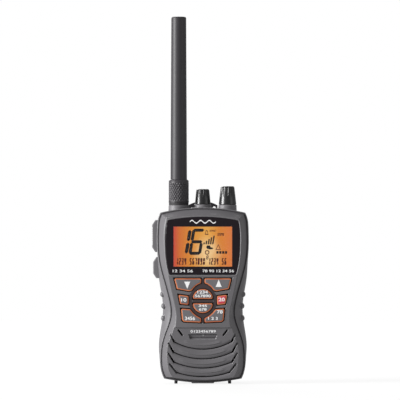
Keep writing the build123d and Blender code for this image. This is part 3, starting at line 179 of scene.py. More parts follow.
def feed(sockets, **sources):
    """Leads each source into the socket of its name."""
    for label, source in sources.items():
        socket = sockets[label.replace("_", " ")]
        socket.id_data.links.new(source, socket)


NUMBER, COLOUR, VECTOR = "NodeSocketFloat", "NodeSocketColor", "NodeSocketVector"


def surface_group(name, inputs):
    """An empty node group that puts out a surface. Returns it, what comes in and what goes out."""
    group = bpy.data.node_groups.new(name, "ShaderNodeTree")
    for label, kind, value in inputs:
        socket = group.interface.new_socket(name=label, in_out="INPUT", socket_type=kind)
        socket.default_value = value
    for label, kind in (("Colour", COLOUR), ("Roughness", NUMBER), ("Height", NUMBER),
                        ("Normal", VECTOR)):
        group.interface.new_socket(name=label, in_out="OUTPUT", socket_type=kind)
    given, out = group.nodes.new("NodeGroupInput"), group.nodes.new("NodeGroupOutput")
    return group, given.outputs, out.inputs


worn_colour = (0.8, 0.8, 0.8, 1)
grain_share = 0.12
rub_polish = -0.3
moulded, given, out = surface_group("moulded_surface", [
    ("Colour", COLOUR, (0.5, 0.5, 0.5, 1)), ("Roughness", NUMBER, 0.5), ("Grain", NUMBER, 2500.0),
    ("Edge", NUMBER, 0.4 * mm), ("Rub", NUMBER, 0.3)])
place = object_place(moulded)
grain = noise(moulded, place, given["Grain"])
clouds = noise(moulded, place, 45.0, detail=4.0)
scuffs = noise(moulded, place, 380.0, detail=6.0)
softened = add_node(moulded, "ShaderNodeBevel", {"Radius": given["Edge"]}, samples=6).outputs[0]
flat = add_node(moulded, "ShaderNodeNewGeometry").outputs["Normal"]
facing = add_node(moulded, "ShaderNodeVectorMath", {0: softened, 1: flat}, operation="DOT_PRODUCT")
edge = ranged(moulded, facing.outputs["Value"], 0.0, 1.0, start=0.995, end=0.86)
rubbed = computed(moulded, "MULTIPLY", computed(moulded, "MULTIPLY", edge, scuffs), given["Rub"])
toned = scaled(moulded, given["Colour"], ranged(moulded, clouds, 0.94, 1.06, start=0.3, end=0.7))
worn = blended(moulded, rubbed, toned, worn_colour)
matt = computed(moulded, "MULTIPLY_ADD", grain, grain_share, given["Roughness"])
sheen = computed(moulded, "MULTIPLY_ADD", rubbed, rub_polish, matt)
feed(out, Colour=worn, Roughness=sheen, Height=grain, Normal=softened)


def principled(name, **plain):
    """A material with one principled shader. plain gives its sockets that are the same all over."""
    material = bpy.data.materials.new(name)
    material.use_nodes = True
    shader = material.node_tree.nodes["Principled BSDF"]
    for label, value in plain.items():
        shader.inputs[label.replace("_", " ")].default_value = value
    return material, material.node_tree, shader.inputs


def grouped_material(name, group, values, strength, depth, **plain):
    """A material with a group's surface. depth is that of its grain, in mm."""
    material, tree, shader = principled(name, **plain)
    surface = add_node(tree, "ShaderNodeGroup", values, node_tree=group).outputs
    bump = add_node(tree, "ShaderNodeBump", {"Height": surface["Height"],
                                             "Normal": surface["Normal"],
                                             "Strength": strength, "Distance": depth * mm})
    feed(shader, Base_Color=surface["Colour"], Roughness=surface["Roughness"],
         Normal=bump.outputs[0])
    return material


def moulded_plastic(name, colour, roughness, grain=2500.0, edge=0.4, rub=0.3, depth=0.02, **plain):
    """Moulded plastic or rubber. edge is the softened corner, in mm, and rub how worn it is."""
    values = {"Colour": colour, "Roughness": roughness, "Grain": grain, "Edge": edge * mm,
              "Rub": rub}
    return grouped_material(name, moulded, values, strength=0.5, depth=depth, **plain)


def finish_nodes(material, *names):
    """Puts the material on each slot of these CAD nodes."""
    for name in names:
        for slot in nodes[name].material_slots:
            slot.material = material


cover_grey = moulded_plastic("cover_grey", tint(101, 99, 102), 0.35, edge=0.6)
body_grey = moulded_plastic("body_grey", tint(104, 102, 105), 0.45, edge=0.9)
finish_nodes(cover_grey, "front_case")
finish_nodes(body_grey, "rear_case", "battery_door")


# ---- Seam gasket ----
# A soft black rubber bead that the case screws squeeze into the groove between the cover and the
# rear body. It follows the cover's own edge all the way round.
def piece(name, vertices, faces, material, body, smooth_angle=None):
    """A mesh piece in mm on a body. smooth_angle shades its faces smooth below that turn."""
    mesh = bpy.data.meshes.new(name)
    mesh.from_pydata([Vector(v) * mm for v in vertices], [], faces)
    shell = bmesh.new()
    shell.from_mesh(mesh)
    bmesh.ops.recalc_face_normals(shell, faces=shell.faces)
    shell.to_mesh(mesh)
    shell.free()
    mesh.materials.append(material)
    if smooth_angle is not None:
        mesh.shade_smooth()
        mesh.set_sharp_from_angle(angle=math.radians(smooth_angle))
    made = bpy.data.objects.new(name, mesh)
    bpy.context.collection.objects.link(made)
    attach(made, body)
    return made


def skin(rings, size, closed):
    """The quads between neighbouring rings of size points, and back to the first if closed."""
    faces = []
    for ring in range(rings if closed else rings - 1):
        low, high = ring * size, (ring + 1) % rings * size
        faces += [(low + i, low + (i + 1) % size, high + (i + 1) % size, high + i)
                  for i in range(size)]
    return faces


def bead(name, route, radius, y, material, body, flatten=1.0, around=10):
    """A bead along a closed route of (x, z) points at depth y, radius wide to each side."""
    vertices = []
    for i, spot in enumerate(route):
        along = (route[(i + 1) % len(route)] - route[i - 1]).normalized()
        outward = Vector((along.y, -along.x))
        for step in range(around):
            turn = 2 * math.pi * step / around
            at = spot + outward * radius * math.cos(turn)
            vertices.append((at.x, y - radius * flatten * math.sin(turn), at.y))
    faces = skin(len(route), around, closed=True)
    return piece(name, vertices, faces, material, body, smooth_angle=60)


def moved_out(route, distance):
    """An anticlockwise closed route, moved outwards."""
    ways = [(route[(i + 1) % len(route)] - route[i - 1]).normalized() for i in range(len(route))]
    return [spot + Vector((way.y, -way.x)) * distance for spot, way in zip(route, ways)]


def evened(route, step):
    """The closed route again, anticlockwise and with its points a step apart."""
    if sum(start.cross(end) for start, end in zip(route, route[1:] + route[:1])) < 0:
        route = route[::-1]
    spots, carried = [], 0.0
    for start, end in zip(route, route[1:] + route[:1]):
        length = (end - start).length
        while carried < length:
            spots.append(start.lerp(end, carried / length))
            carried += step
        carried -= length
    return spots


seam_nest = 1.5
seam_step = 1.2
seam_slack = 0.02
bead_radius = 0.46
bead_out = 0.36
bead_back = 0.1
seam_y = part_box("front_case")[1].y / mm - seam_nest
cover = nodes["front_case"].data
beside = {}
for line in cover.edges:
    ends = [tuple(round(c / mm, 3) for c in cover.vertices[i].co) for i in line.vertices]
    if ends[0] != ends[1] and all(abs(end[1] - seam_y) < seam_slack for end in ends):
        beside.setdefault(ends[0], {})[ends[1]] = True
        beside.setdefault(ends[1], {})[ends[0]] = True
walk = [max(beside)]
for _ in beside:
    ahead = [end for end in beside[walk[-1]] if end not in walk[-2:]]
    if not ahead or ahead[0] == walk[0]:
        break
    walk.append(ahead[0])
seam_route = evened([Vector((x, z)) for x, _, z in walk], seam_step)
seam_black = moulded_plastic("seam_black", tint(58, 56, 59), 0.7, grain=1800.0, edge=0.1, rub=0.0)
bead("seam_gasket", moved_out(seam_route, bead_out), bead_radius, seam_y + bead_back, seam_black,
     "radio")


# ---- Display window: black printed border, clear pane ----
# One acrylic pane, hard-coated and printed black behind its border, glued into the cover's recess.
# The cover has a low moulded ridge round it.
window_black = moulded_plastic("window_black", tint(27, 21, 26), 0.14, grain=900.0, edge=0.25,
                               rub=0.12, depth=0.002, Specular_IOR_Level=0.22)
finish_nodes(window_black, "lens_border")


def grey_of(tree, level):
    """The grey of a level from 0 to 1."""
    inputs = {"Red": level, "Green": level, "Blue": level}
    return add_node(tree, "ShaderNodeCombineColor", inputs).outputs[0]


pane, pane_tree, pane_shader = principled("window_clear", Transmission_Weight=1.0, IOR=1.3,
                                          Specular_IOR_Level=0.25)
smears = noise(pane_tree, object_place(pane_tree), 120.0, detail=5.0)
feed(pane_shader, Base_Color=grey_of(pane_tree, ranged(pane_tree, smears, 0.99, 1.0)),
     Roughness=ranged(pane_tree, smears, 0.0, 0.03, start=0.45, end=0.8))
finish_nodes(pane, "lens_window")

ridge_out = 0.55
ridge_radius = 0.5
ridge_step = 1.0
ridge_sink = 0.02
face_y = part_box("front_case")[0].y / mm
border = [Vector((v.co.x, v.co.z)) / mm for v in nodes["lens_border"].data.vertices]
window_rim = evened([border[i] for i in convex_hull_2d(border)], ridge_step)
bead("window_bead", moved_out(window_rim, ridge_out), ridge_radius, face_y + ridge_sink, body_grey,
     "radio", flatten=0.34)


# ---- LCD and what it shows ----
# A liquid-crystal glass lit from behind through an orange film: brightest past the middle, redder
# at the left edge. The figures and marks are liquid-crystal segments just in front of the glow.
view_left, view_right = -20.3, 20.3
left_edge, right_edge = tint(206, 70, 56), tint(226, 124, 62)
film_bands = {0.1: tint(214, 112, 46), 0.3: tint(224, 140, 46), 0.58: tint(236, 170, 74),
              0.78: tint(222, 134, 46)}
glow_middle = Vector((3.0, 0.0, 90.5))
glow_reach = Vector((13.0, 60.0, 17.0))
glow_colour = tint(252, 224, 172)
glow_gain = 1.7
unlit_dark = 0.95

lcd, lcd_tree, lcd_shader = principled("lcd_glow", Emission_Strength=0.86, Specular_IOR_Level=0.0)
lcd_place = object_place(lcd_tree)
across = add_node(lcd_tree, "ShaderNodeSeparateXYZ", {0: lcd_place}).outputs["X"]
along = ranged(lcd_tree, across, 0.0, 1.0, start=view_left * mm, end=view_right * mm)
bands = add_node(lcd_tree, "ShaderNodeValToRGB", {0: along})
bands.color_ramp.elements[0].color = left_edge
bands.color_ramp.elements[1].color = right_edge
for at, colour in film_bands.items():
    bands.color_ramp.elements.new(at).color = colour
offset = add_node(lcd_tree, "ShaderNodeVectorMath", {0: lcd_place, 1: glow_middle * mm},
                  operation="SUBTRACT").outputs[0]
shares = add_node(lcd_tree, "ShaderNodeVectorMath", {0: offset, 1: glow_reach * mm},
                  operation="DIVIDE").outputs[0]
away = add_node(lcd_tree, "ShaderNodeVectorMath", {0: shares}, operation="LENGTH").outputs["Value"]
hot = ranged(lcd_tree, away, 0.0, 0.85, start=1.0, end=0.1, interpolation_type="SMOOTHSTEP")
speckle = noise(lcd_tree, lcd_place, 160.0, detail=3.0)
patch = computed(lcd_tree, "MULTIPLY", computed(lcd_tree, "MULTIPLY", hot, speckle), glow_gain,
                 use_clamp=True)
lcd_colour = blended(lcd_tree, patch, bands.outputs[0], glow_colour)
feed(lcd_shader, Emission_Color=lcd_colour,
     Base_Color=blended(lcd_tree, unlit_dark, lcd_colour, (0, 0, 0, 1)))
finish_nodes(lcd, "lcd_panel")


def plates(name, outlines, back_y, thick, material, body):
    """Raised flat figures. An outline is a loop of (x, z) points, anticlockwise from the front."""
    vertices, faces = [], []
    for outline in outlines:
        first, count = len(vertices), len(outline)
        vertices += [(x, back_y, z) for x, z in outline]
        vertices += [(x, back_y - thick, z) for x, z in outline]
        faces.append([first + count + i for i in range(count)])
        faces.append([first + i for i in reversed(range(count))])
        faces += [(first + i, first + (i + 1) % count, first + count + (i + 1) % count,
                   first + count + i) for i in range(count)]
    return piece(name, vertices, faces, material, body)


SEGMENTS = {"0": "abcdef", "1": "bc", "2": "abged", "3": "abgcd", "4": "fgbc", "5": "afgcd",
            "6": "afgedc", "7": "abc", "8": "abcdefg", "9": "abfgcd"}


def segment_figure(figure, left, low, width, height, weight, split, lean):
    """The lit bars of a seven-segment figure. split parts the bars and lean tilts them."""
    middle_z, half = low + height / 2, weight / 2
    right, high = left + width, low + height
    ends = {"a": (left, high - half, right, high - half), "g": (left, middle_z, right, middle_z),
            "d": (left, low + half, right, low + half),
            "f": (left + half, middle_z, left + half, high),
            "b": (right - half, middle_z, right - half, high),
            "e": (left + half, low, left + half, middle_z),
            "c": (right - half, low, right - half, middle_z)}
    bars = []
    for bar in SEGMENTS[figure]:
        x0, z0, x1, z1 = ends[bar]
        if z0 == z1:
            x0, x1 = x0 + split, x1 - split
            loop = [(x0, z0), (x0 + half, z0 - half), (x1 - half, z0 - half), (x1, z0),
                    (x1 - half, z0 + half), (x0 + half, z0 + half)]
        else:
            z0, z1 = z0 + split, z1 - split
            loop = [(x0, z0), (x0 + half, z0 + half), (x0 + half, z1 - half), (x0, z1),
                    (x0 - half, z1 - half), (x0 - half, z0 + half)]
        bars.append([(x + (z - low) * math.tan(lean), z) for x, z in loop])
    return bars


def segment_row(figures, left, low, pitch, **sizes):
    """A row of seven-segment figures, a pitch apart. A space leaves a gap."""
    bars = []
    for place, figure in enumerate(figures):
        if figure != " ":
            bars += segment_figure(figure, left + pitch * place, low, **sizes)
    return bars


def segment_ink(name, colour):
    """A lit segment's colour: dull, and too thin to have worn edges."""
    return moulded_plastic(name, colour, 0.5, edge=0.01, rub=0.0, depth=0.001,
                           Specular_IOR_Level=0.0)


lcd_front_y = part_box("lcd_panel")[0].y / mm
ink_thick = 0.03
lean, row_lean = math.radians(9.2), math.radians(3)
lcd_black = segment_ink("lcd_segment_black", tint(22, 14, 12))
lcd_brown = segment_ink("lcd_segment_brown", tint(88, 20, 14))

channel = segment_figure("1", left=-15.4, low=90.2, width=5.0, height=17.3, weight=2.35,
                         split=0.35, lean=lean)
channel += segment_figure("6", left=-10.1, low=89.8, width=8.8, height=18.2, weight=2.15,
                          split=0.45, lean=lean)
plates("lcd_channel", channel, lcd_front_y, ink_thick, lcd_black, "radio")

bar_count = 5
bar_left, bar_low = 0.3, 97.1
bar_pitch, bar_width = 1.52, 0.98
bar_start, bar_rise = 1.3, 1.2
rising = []
for bar in range(bar_count):
    x, high = bar_left + bar * bar_pitch, bar_low + bar_start + bar_rise * bar
    loop = [(x, bar_low), (x + bar_width, bar_low), (x + bar_width, high), (x, high)]
    rising.append([(px + (pz - bar_low) * math.tan(lean), pz) for px, pz in loop])
plates("lcd_signal_bars", rising, lcd_front_y, ink_thick, lcd_black, "radio")

block_width, block_low, block_high = 1.55, 90.6, 92.4
blocks = [[(x, block_low), (x + block_width, block_low), (x + block_width, block_high),
           (x, block_high)] for x in (9.4, 11.4, 13.4, 15.4)]
blob = [(2.3, 95.0), (3.2, 93.9), (5.0, 93.6), (6.9, 93.8), (7.3, 94.6), (5.4, 95.2), (5.0, 96.3),
        (3.0, 96.4)]
plates("lcd_battery_blocks", blocks + [blob], lcd_front_y, ink_thick, lcd_black, "radio")


def frame_of(corners, width):
    """The outline of a closed line figure: one loop of quads round the corners, width wide."""
    centre_x = sum(x for x, _ in corners) / len(corners)
    centre_z = sum(z for _, z in corners) / len(corners)
    reach = max(math.hypot(x - centre_x, z - centre_z) for x, z in corners)
    keep = 1 - width / reach
    inner = [(centre_x + (x - centre_x) * keep, centre_z + (z - centre_z) * keep)
             for x, z in corners]
    count = len(corners)
    return [[corners[i], corners[(i + 1) % count], inner[(i + 1) % count], inner[i]]
            for i in range(count)]


def ring_of(x, z, radius, width, steps=16):
    """A ring round a middle, width wide."""
    turns = [2 * math.pi * i / steps for i in range(steps)]
    return frame_of([(x + radius * math.cos(a), z + radius * math.sin(a)) for a in turns], width)


triangle = [(8.8, 93.3), (12.6, 93.3), (10.8, 97.3)]
bell = [(1.4, 103.9), (3.9, 103.6), (3.4, 106.6), (2.2, 107.1)]
marks = frame_of(triangle, 0.95) + ring_of(3.0, 91.5, radius=1.6, width=0.6) + frame_of(bell, 0.8)
marks += segment_figure("8", left=2.2, low=86.6, width=1.5, height=2.8, weight=0.5, split=0.04,
                        lean=lean)
marks += segment_row("1234567", 4.4, 105.9, 0.68, width=0.52, height=1.3, weight=0.3, split=0.0,
                     lean=lean)
marks += segment_row("12345", 9.7, 103.0, 1.0, width=0.85, height=2.0, weight=0.46, split=0.0,
                     lean=lean)
marks += segment_row("1234 567890 1234 56", -18.6, 82.9, 1.86, width=1.4, height=4.7, weight=0.74,
                     split=0.02, lean=row_lean)
plates("lcd_small_marks", marks, lcd_front_y, ink_thick, lcd_brown, "radio")


# ---- White printing on the window and the grille ----
# Pad-printed marks: plain figures and a small row of waves, a few hundredths of a millimetre thick.
# The ink lies a little thinner in places.
print_white, print_tree, print_shader = principled("print_white", Roughness=0.5,
                                                   Specular_IOR_Level=0.3)
print_cover = noise(print_tree, object_place(print_tree), 1800.0)
feed(print_shader, Base_Color=grey_of(print_tree, ranged(print_tree, print_cover, 0.84, 1.0)))


def plain_numbers(name, figures, low, high, back_y, body, thick=0.03, weight=0.012):
    """Printed figures, fitted between the corners low and high, each given as (x, z)."""
    curve = bpy.data.curves.new(name, "FONT")
    curve.body, curve.extrude, curve.offset = figures, thick / 2, weight
    drawn_figures = bpy.data.objects.new(name, curve)
    mesh = bpy.data.meshes.new_from_object(drawn_figures)
    bpy.data.objects.remove(drawn_figures)
    xs, ys = [v.co.x for v in mesh.vertices], [v.co.y for v in mesh.vertices]
    wide = (high[0] - low[0]) / (max(xs) - min(xs))
    tall = (high[1] - low[1]) / (max(ys) - min(ys))
    for v in mesh.vertices:
        v.co = Vector((low[0] + (v.co.x - min(xs)) * wide, back_y - thick / 2 - v.co.z,
                       low[1] + (v.co.y - min(ys)) * tall)) * mm
    mesh.materials.clear()
    mesh.materials.append(print_white)
    made = bpy.data.objects.new(name, mesh)
    bpy.context.collection.objects.link(made)
    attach(made, body)
    return made


window_front_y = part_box("lens_border")[0].y / mm
grille_front_y = -20.2
plain_numbers("window_figures_left", "12 34 56", (-20.9, 77.75), (-6.9, 79.6), window_front_y,
              "radio")
plain_numbers("window_figures_right", "78 90 12 34 56", (-0.2, 77.75), (21.6, 79.6),
              window_front_y, "radio")
plain_numbers("grille_figures", "0123456789", (-8.5, 35.9), (9.0, 37.6), grille_front_y, "radio")

wave_count, wave_steps = 3, 24
wave_left, wave_z = -9.0, 112.8
wave_length, wave_rise, wave_half = 6.0, 0.95, 0.38
crest = [(wave_left + wave_length * i / wave_steps,
          wave_z + wave_rise * math.sin(2 * math.pi * i / wave_steps))
         for i in range(wave_count * wave_steps + 1)]
wave_line = [(x, z - wave_half) for x, z in crest]
wave_line += [(x, z + wave_half) for x, z in reversed(crest)]
plates("window_waves", [wave_line], window_front_y, ink_thick, print_white, "radio")


# ---- Grille ----
# Four louvres, each with a black strip laid on its floor as painted shade in the slot, a low
# moulded lip that runs out above each one, and two black strips in the microphone's recess as
# painted shade there.
# Black for the strips that stand as painted shade in the louvres and in the microphone's recess.
grille_painted_shade = moulded_plastic("grille_painted_shade", tint(30, 28, 30), 0.8, grain=1500.0, edge=0.05,
                               rub=0.0)

# A louvre has the x and z of its right end, the z of its middle, and the share of its length that
# has a lip. The lip's section has how far out from the louvre each corner is, and how high.
louvres = [(20.0, 29.6, 24.3, 0.74), (20.5, 22.4, 17.6, 0.93), (20.2, 15.5, 11.2, 0.93),
           (18.5, 8.3, 5.2, 0.93)]
louvre_floor = -18.9
louvre_half = 0.4
louvre_steps = 40
shade_thick = 0.05
lip_section = [(-4.6, -0.3), (-4.6, -0.05), (-2.85, 0.4), (-2.1, -0.05), (-2.1, -0.3)]
lip_fade = 0.2
lip_sink = 0.1
shades, lip_points, lip_faces = [], [], []
for end_x, end_z, middle_z, lip_share in louvres:
    sag = end_z - middle_z
    radius = (end_x ** 2 + sag ** 2) / (2 * sag)
    centre_z = middle_z + radius
    reach = math.asin(end_x / radius)
    turns = [reach * (2 * step / louvre_steps - 1) for step in range(louvre_steps + 1)]
    lower, upper = ([(r * math.sin(turn), centre_z - r * math.cos(turn)) for turn in turns]
                    for r in (radius + louvre_half, radius - louvre_half))
    shades.append(lower + upper[::-1])
    size, first = len(lip_section), len(lip_points)
    for turn in turns:
        grown = min(1, (1 - abs(turn) / reach) / lip_fade)
        at = turn * lip_share
        for outward, height in lip_section:
            proud = (height + lip_sink) * grown - lip_sink if height > 0 else height
            lip_points.append(((radius + outward) * math.sin(at), grille_front_y - proud,
                               centre_z - (radius + outward) * math.cos(at)))
    lip_faces += [tuple(first + i for i in face)
                  for face in skin(louvre_steps + 1, size, closed=False)]
    lip_faces.append(tuple(range(first, first + size)))
    lip_faces.append(tuple(range(len(lip_points) - size, len(lip_points))))
# The strips on the louvres' floors are black sheets laid where the slots are in shade: painted
# shade.
plates("louvre_painted_shade", shades, louvre_floor, shade_thick, grille_painted_shade, "radio")
piece("louvre_lips", lip_points, lip_faces, cover_grey, "radio", smooth_angle=25)

# Two black strips along the top and bottom edges of the microphone's recess: painted shade.
recess_shade_back_y = -19.2
recess_painted_shades = [[(-9.2, 32.4), (9.2, 32.4), (9.35, 32.95), (-9.35, 32.95)],
         [(-9.8, 34.2), (9.8, 34.2), (9.9, 34.5), (-9.9, 34.5)]]
plates("microphone_recess_painted_shade", recess_painted_shades, recess_shade_back_y, shade_thick, grille_painted_shade, "radio")


# ---- Keys ----
# Each key is a grey cap in a translucent orange rim that the light behind the keypad shines
# through, on a dark rubber skirt. Its mark is printed white. The red key calls for help.
key_rim = 0.74
key_gap = 0.42
key_skirt_y = -18.05
key_rim_y = -21.5
key_cap_y = -21.64
key_corner, least_corner = 1.5, 0.3
corner_steps, arc_steps = 5, 20
most_cut = 0.42
settling_rounds = 6
skirt_in = 0.12
rim_depth = 0.6
rim_back_y = key_rim_y + rim_depth

# Each step of a side has how far in it stands and its depth.
rim_steps = [(0.0, rim_back_y), (0.0, key_rim_y + 0.25), (0.08, key_rim_y + 0.07),
             (0.25, key_rim_y)]
cap_steps = [(-0.03, key_rim_y + 0.7), (-0.03, key_rim_y - 0.02), (0.06, key_cap_y + 0.05),
             (0.2, key_cap_y), (0.4, key_cap_y)]

# An outline lists its corners anticlockwise. A corner that is followed by a second point starts an
# arc through that point.
side_x, side_low, side_high = -9.5, 54.7, 61.65
upper_bend = [(-7.3, 64.8), (-4.5, 68.0), (-0.75, 69.9)]
lower_bend = [(-0.8, 46.2), (-5.1, 48.7), (-8.5, 52.5)]
upper_corner, upper_crown = (7.4, 58.9), (0, 66.6)
lower_corner, lower_crown = (7.4, 56.6), (0, 49.0)
upper_wedge = [[(-0.75, 73.9)], [(-20.4, 73.9)], [(-18.3, 65.8)], [(-9.5, 64.2)], upper_bend[:2],
               upper_bend[2:]]
lower_wedge = [lower_bend[:2], lower_bend[2:], [(-15.6, 53.0)], [(-14.7, 44.3)], [(-13.3, 43.0)],
               [(-0.8, 42.4)]]
side_key = [[(-17.5, 62.7)], [(-16.0, 55.3)], [(side_x, side_low)], [(side_x, side_high)]]
upper_disc = [[(-upper_corner[0], upper_corner[1])], [upper_corner, upper_crown]]
lower_disc = [[lower_corner], [(-lower_corner[0], lower_corner[1]), lower_crown]]


def mirrored(outline):
    """The outline across x = 0, again anticlockwise."""
    turned_over = []
    for i in reversed(range(len(outline))):
        corner = outline[(i + 1) % len(outline)][0]
        turned_over.append([(-x, z) for x, z in [corner] + outline[i][1:]])
    return turned_over


def circle_centre(a, b, c):
    """The centre of the circle through three points."""
    twice = 2 * (a.x * (b.y - c.y) + b.x * (c.y - a.y) + c.x * (a.y - b.y))
    squares = a.length_squared, b.length_squared, c.length_squared
    x = squares[0] * (b.y - c.y) + squares[1] * (c.y - a.y) + squares[2] * (a.y - b.y)
    y = squares[0] * (c.x - b.x) + squares[1] * (a.x - c.x) + squares[2] * (b.x - a.x)
    return Vector((x / twice, y / twice))


def inner_loop(outline, distance):
    """The outline moved in by a distance, with rounded corners, as a loop of (x, z) points."""
    count = len(outline)
    corners = [Vector(edge[0]) for edge in outline]
    centres, outward = [], []
    for i, edge in enumerate(outline):
        start, end = corners[i], corners[(i + 1) % count]
        via = Vector(edge[-1])
        centres.append(circle_centre(start, via, end) if len(edge) > 1 else None)
        outward.append(1 if (end - start).cross(via - start) < 0 else -1)

    def inside(i, spot):
        """How far a spot is inside edge i, and which way leads further in."""
        start, end = corners[i], corners[(i + 1) % count]
        if centres[i] is None:
            along = (end - start).normalized()
            inward = Vector((-along.y, along.x))
            return (spot - start).dot(inward), inward
        reach = spot - centres[i]
        gap = outward[i] * ((start - centres[i]).length - reach.length)
        return gap, -outward[i] * reach.normalized()

    spots, cuts = [], []
    for i in range(count):
        spot = corners[i].copy()
        for _ in range(settling_rounds):
            (gap_a, to_a), (gap_b, to_b) = inside(i - 1, spot), inside(i, spot)
            a, b = distance - gap_a, distance - gap_b
            shift = Vector((a * to_b.y - b * to_a.y, b * to_a.x - a * to_b.x))
            spot += shift / to_a.cross(to_b)
        spots.append(spot)
        cuts.append(max(least_corner, key_corner - distance) * math.tan(to_a.angle(to_b) / 2))

    def edge_points(i):
        """Edge i between its rounded corners."""
        start, end, centre = spots[i], spots[(i + 1) % count], centres[i]
        span = (end - start).length
        first = min(most_cut, cuts[i] / span)
        last = 1 - min(most_cut, cuts[(i + 1) % count] / span)
        if centre is None:
            return [start.lerp(end, first), start.lerp(end, last)]
        from_angle, to_angle = (math.atan2(p.y - centre.y, p.x - centre.x) for p in (start, end))
        sweep = outward[i] * (outward[i] * (to_angle - from_angle) % (2 * math.pi))
        radius = (start - centre).length
        shares = [first + (last - first) * step / arc_steps for step in range(arc_steps + 1)]
        angles = [from_angle + sweep * share for share in shares]
        return [centre + radius * Vector((math.cos(a), math.sin(a))) for a in angles]

    edges = [edge_points(i) for i in range(count)]
    loop = []
    for i in range(count):
        before, after = edges[i - 1][-1], edges[i][0]
        for step in range(1, corner_steps):
            share = step / corner_steps
            loop.append(before.lerp(spots[i], share).lerp(spots[i].lerp(after, share), share))
        loop += edges[i]
    return [(spot.x, spot.y) for spot in loop]


def stacked(name, levels, material, body, closed_ring=False):
    """A solid through loops of equal point count, each given with its depth, back to front."""
    count = len(levels[0][0])
    vertices = [(x, y, z) for loop, y in levels for x, z in loop]
    faces = skin(len(levels), count, closed_ring)
    if not closed_ring:
        faces.append([i for i in reversed(range(count))])
        faces.append([(len(levels) - 1) * count + i for i in range(count)])
    return piece(name, vertices, faces, material, body, smooth_angle=35)


key_outlines = {
    "key_down": upper_wedge, "key_up": mirrored(upper_wedge), "key_call": upper_disc,
    "key_menu": lower_disc, "key_watch": side_key, "key_alert": mirrored(side_key),
    "key_scan": lower_wedge, "key_power": mirrored(lower_wedge),
}
cap_grey = moulded_plastic("key_cap_grey", tint(106, 104, 107), 0.42, edge=0.2, rub=0.15,
                           depth=0.008)
cap_red = moulded_plastic("key_cap_red", tint(196, 58, 78), 0.4, edge=0.2, rub=0.1, depth=0.008)
skirt_black = moulded_plastic("key_skirt_black", tint(24, 20, 22), 0.7, edge=0.1, rub=0.0)
rim_orange, rim_tree, rim_shader = principled("key_rim_orange", Roughness=0.45,
                                              Emission_Strength=0.1, Specular_IOR_Level=0.4)
rim_light = ranged(rim_tree, noise(rim_tree, object_place(rim_tree), 110.0), 0.0, 1.0, start=0.35,
                   end=0.65)
rim_colour = blended(rim_tree, rim_light, tint(178, 96, 62), tint(204, 122, 80))
feed(rim_shader, Base_Color=rim_colour, Emission_Color=rim_colour)

for key, outline in key_outlines.items():
    skirt_loop = inner_loop(outline, key_gap + skirt_in)
    skirt = stacked(f"{key}_skirt", [(skirt_loop, key_skirt_y), (skirt_loop, rim_back_y)],
                    skirt_black, key)
    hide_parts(key)
    inner = inner_loop(outline, key_gap + key_rim)
    outside = [(inner_loop(outline, key_gap + step), y) for step, y in rim_steps]
    stacked(f"{key}_rim", [(inner, rim_back_y), *outside, (inner, key_rim_y)],
            rim_orange, key, closed_ring=True)
    cap, cap_slot = (cap_red, "key_red") if key == "key_alert" else (cap_grey, "key_grey")
    stacked(f"{key}_cap", [(inner_loop(outline, key_gap + key_rim + step), y)
                           for step, y in cap_steps], cap, key)

surround_middle = Vector((0, 57.8))
surround_thick = 0.05
surround_steps = 10
surround_gap = 0.05


def arc_points(start, via, end):
    """Points along the arc from start through via to end."""
    start, via, end = Vector(start), Vector(via), Vector(end)
    centre = circle_centre(start, via, end)
    first, last = (math.atan2(spot.y - centre.y, spot.x - centre.x) for spot in (start, end))
    sweep = (last - first + math.pi) % (2 * math.pi) - math.pi
    turns = [first + sweep * i / surround_steps for i in range(surround_steps + 1)]
    radius = (start - centre).length
    return [centre + radius * Vector((math.cos(turn), math.sin(turn))) for turn in turns]


def disc_edge(spot):
    """Where the way from the middle to a spot leaves the two half discs."""
    above = spot.y >= surround_middle.y
    corner, crown = (upper_corner, upper_crown) if above else (lower_corner, lower_crown)
    centre = circle_centre(Vector(corner), Vector(crown), Vector((-corner[0], corner[1])))
    radius = (Vector(crown) - centre).length + surround_gap
    way, to_centre = (spot - surround_middle).normalized(), centre - surround_middle
    halfway = way.dot(to_centre)
    rest = math.sqrt(halfway ** 2 - to_centre.length_squared + radius ** 2)
    return surround_middle + way * (halfway + rest)


upper_z, lower_z = upper_bend[2][1], lower_bend[0][1]
left_side = [Vector((0, upper_z))] + arc_points(*reversed(upper_bend))
left_side += [Vector((side_x, z)) for z in (side_high, upper_corner[1], lower_corner[1], side_low)]
left_side += arc_points(*reversed(lower_bend)) + [Vector((0, lower_z))]
around_discs = left_side + [Vector((-spot.x, spot.y)) for spot in left_side[-2:0:-1]]
disc_rim = [disc_edge(spot) for spot in around_discs]
# A thin dark brown sheet on the cover round the two middle keys, and dark strips between keys:
# painted shade.
surround_painted_shade = moulded_plastic("key_surround_painted_shade", tint(54, 42, 44), 0.6, edge=0.05, rub=0.0)
surround_front = face_y - surround_thick
stacked("disc_surround_painted_shade", [(disc_rim, face_y), (around_discs, face_y),
                          (around_discs, surround_front), (disc_rim, surround_front)],
        surround_painted_shade, "radio", closed_ring=True)

# Each dark strip between two keys is painted shade, and has its half width, its lower end and its
# upper end.
strips = [(7.0, 56.75, 58.75), (0.72, 69.95, 73.6), (0.72, 42.7, 46.15)]
plates("disc_divider_painted_shade", [[(-half, low), (half, low), (half, high), (-half, high)]
                        for half, low, high in strips],
       face_y, surround_thick, surround_painted_shade, "radio")

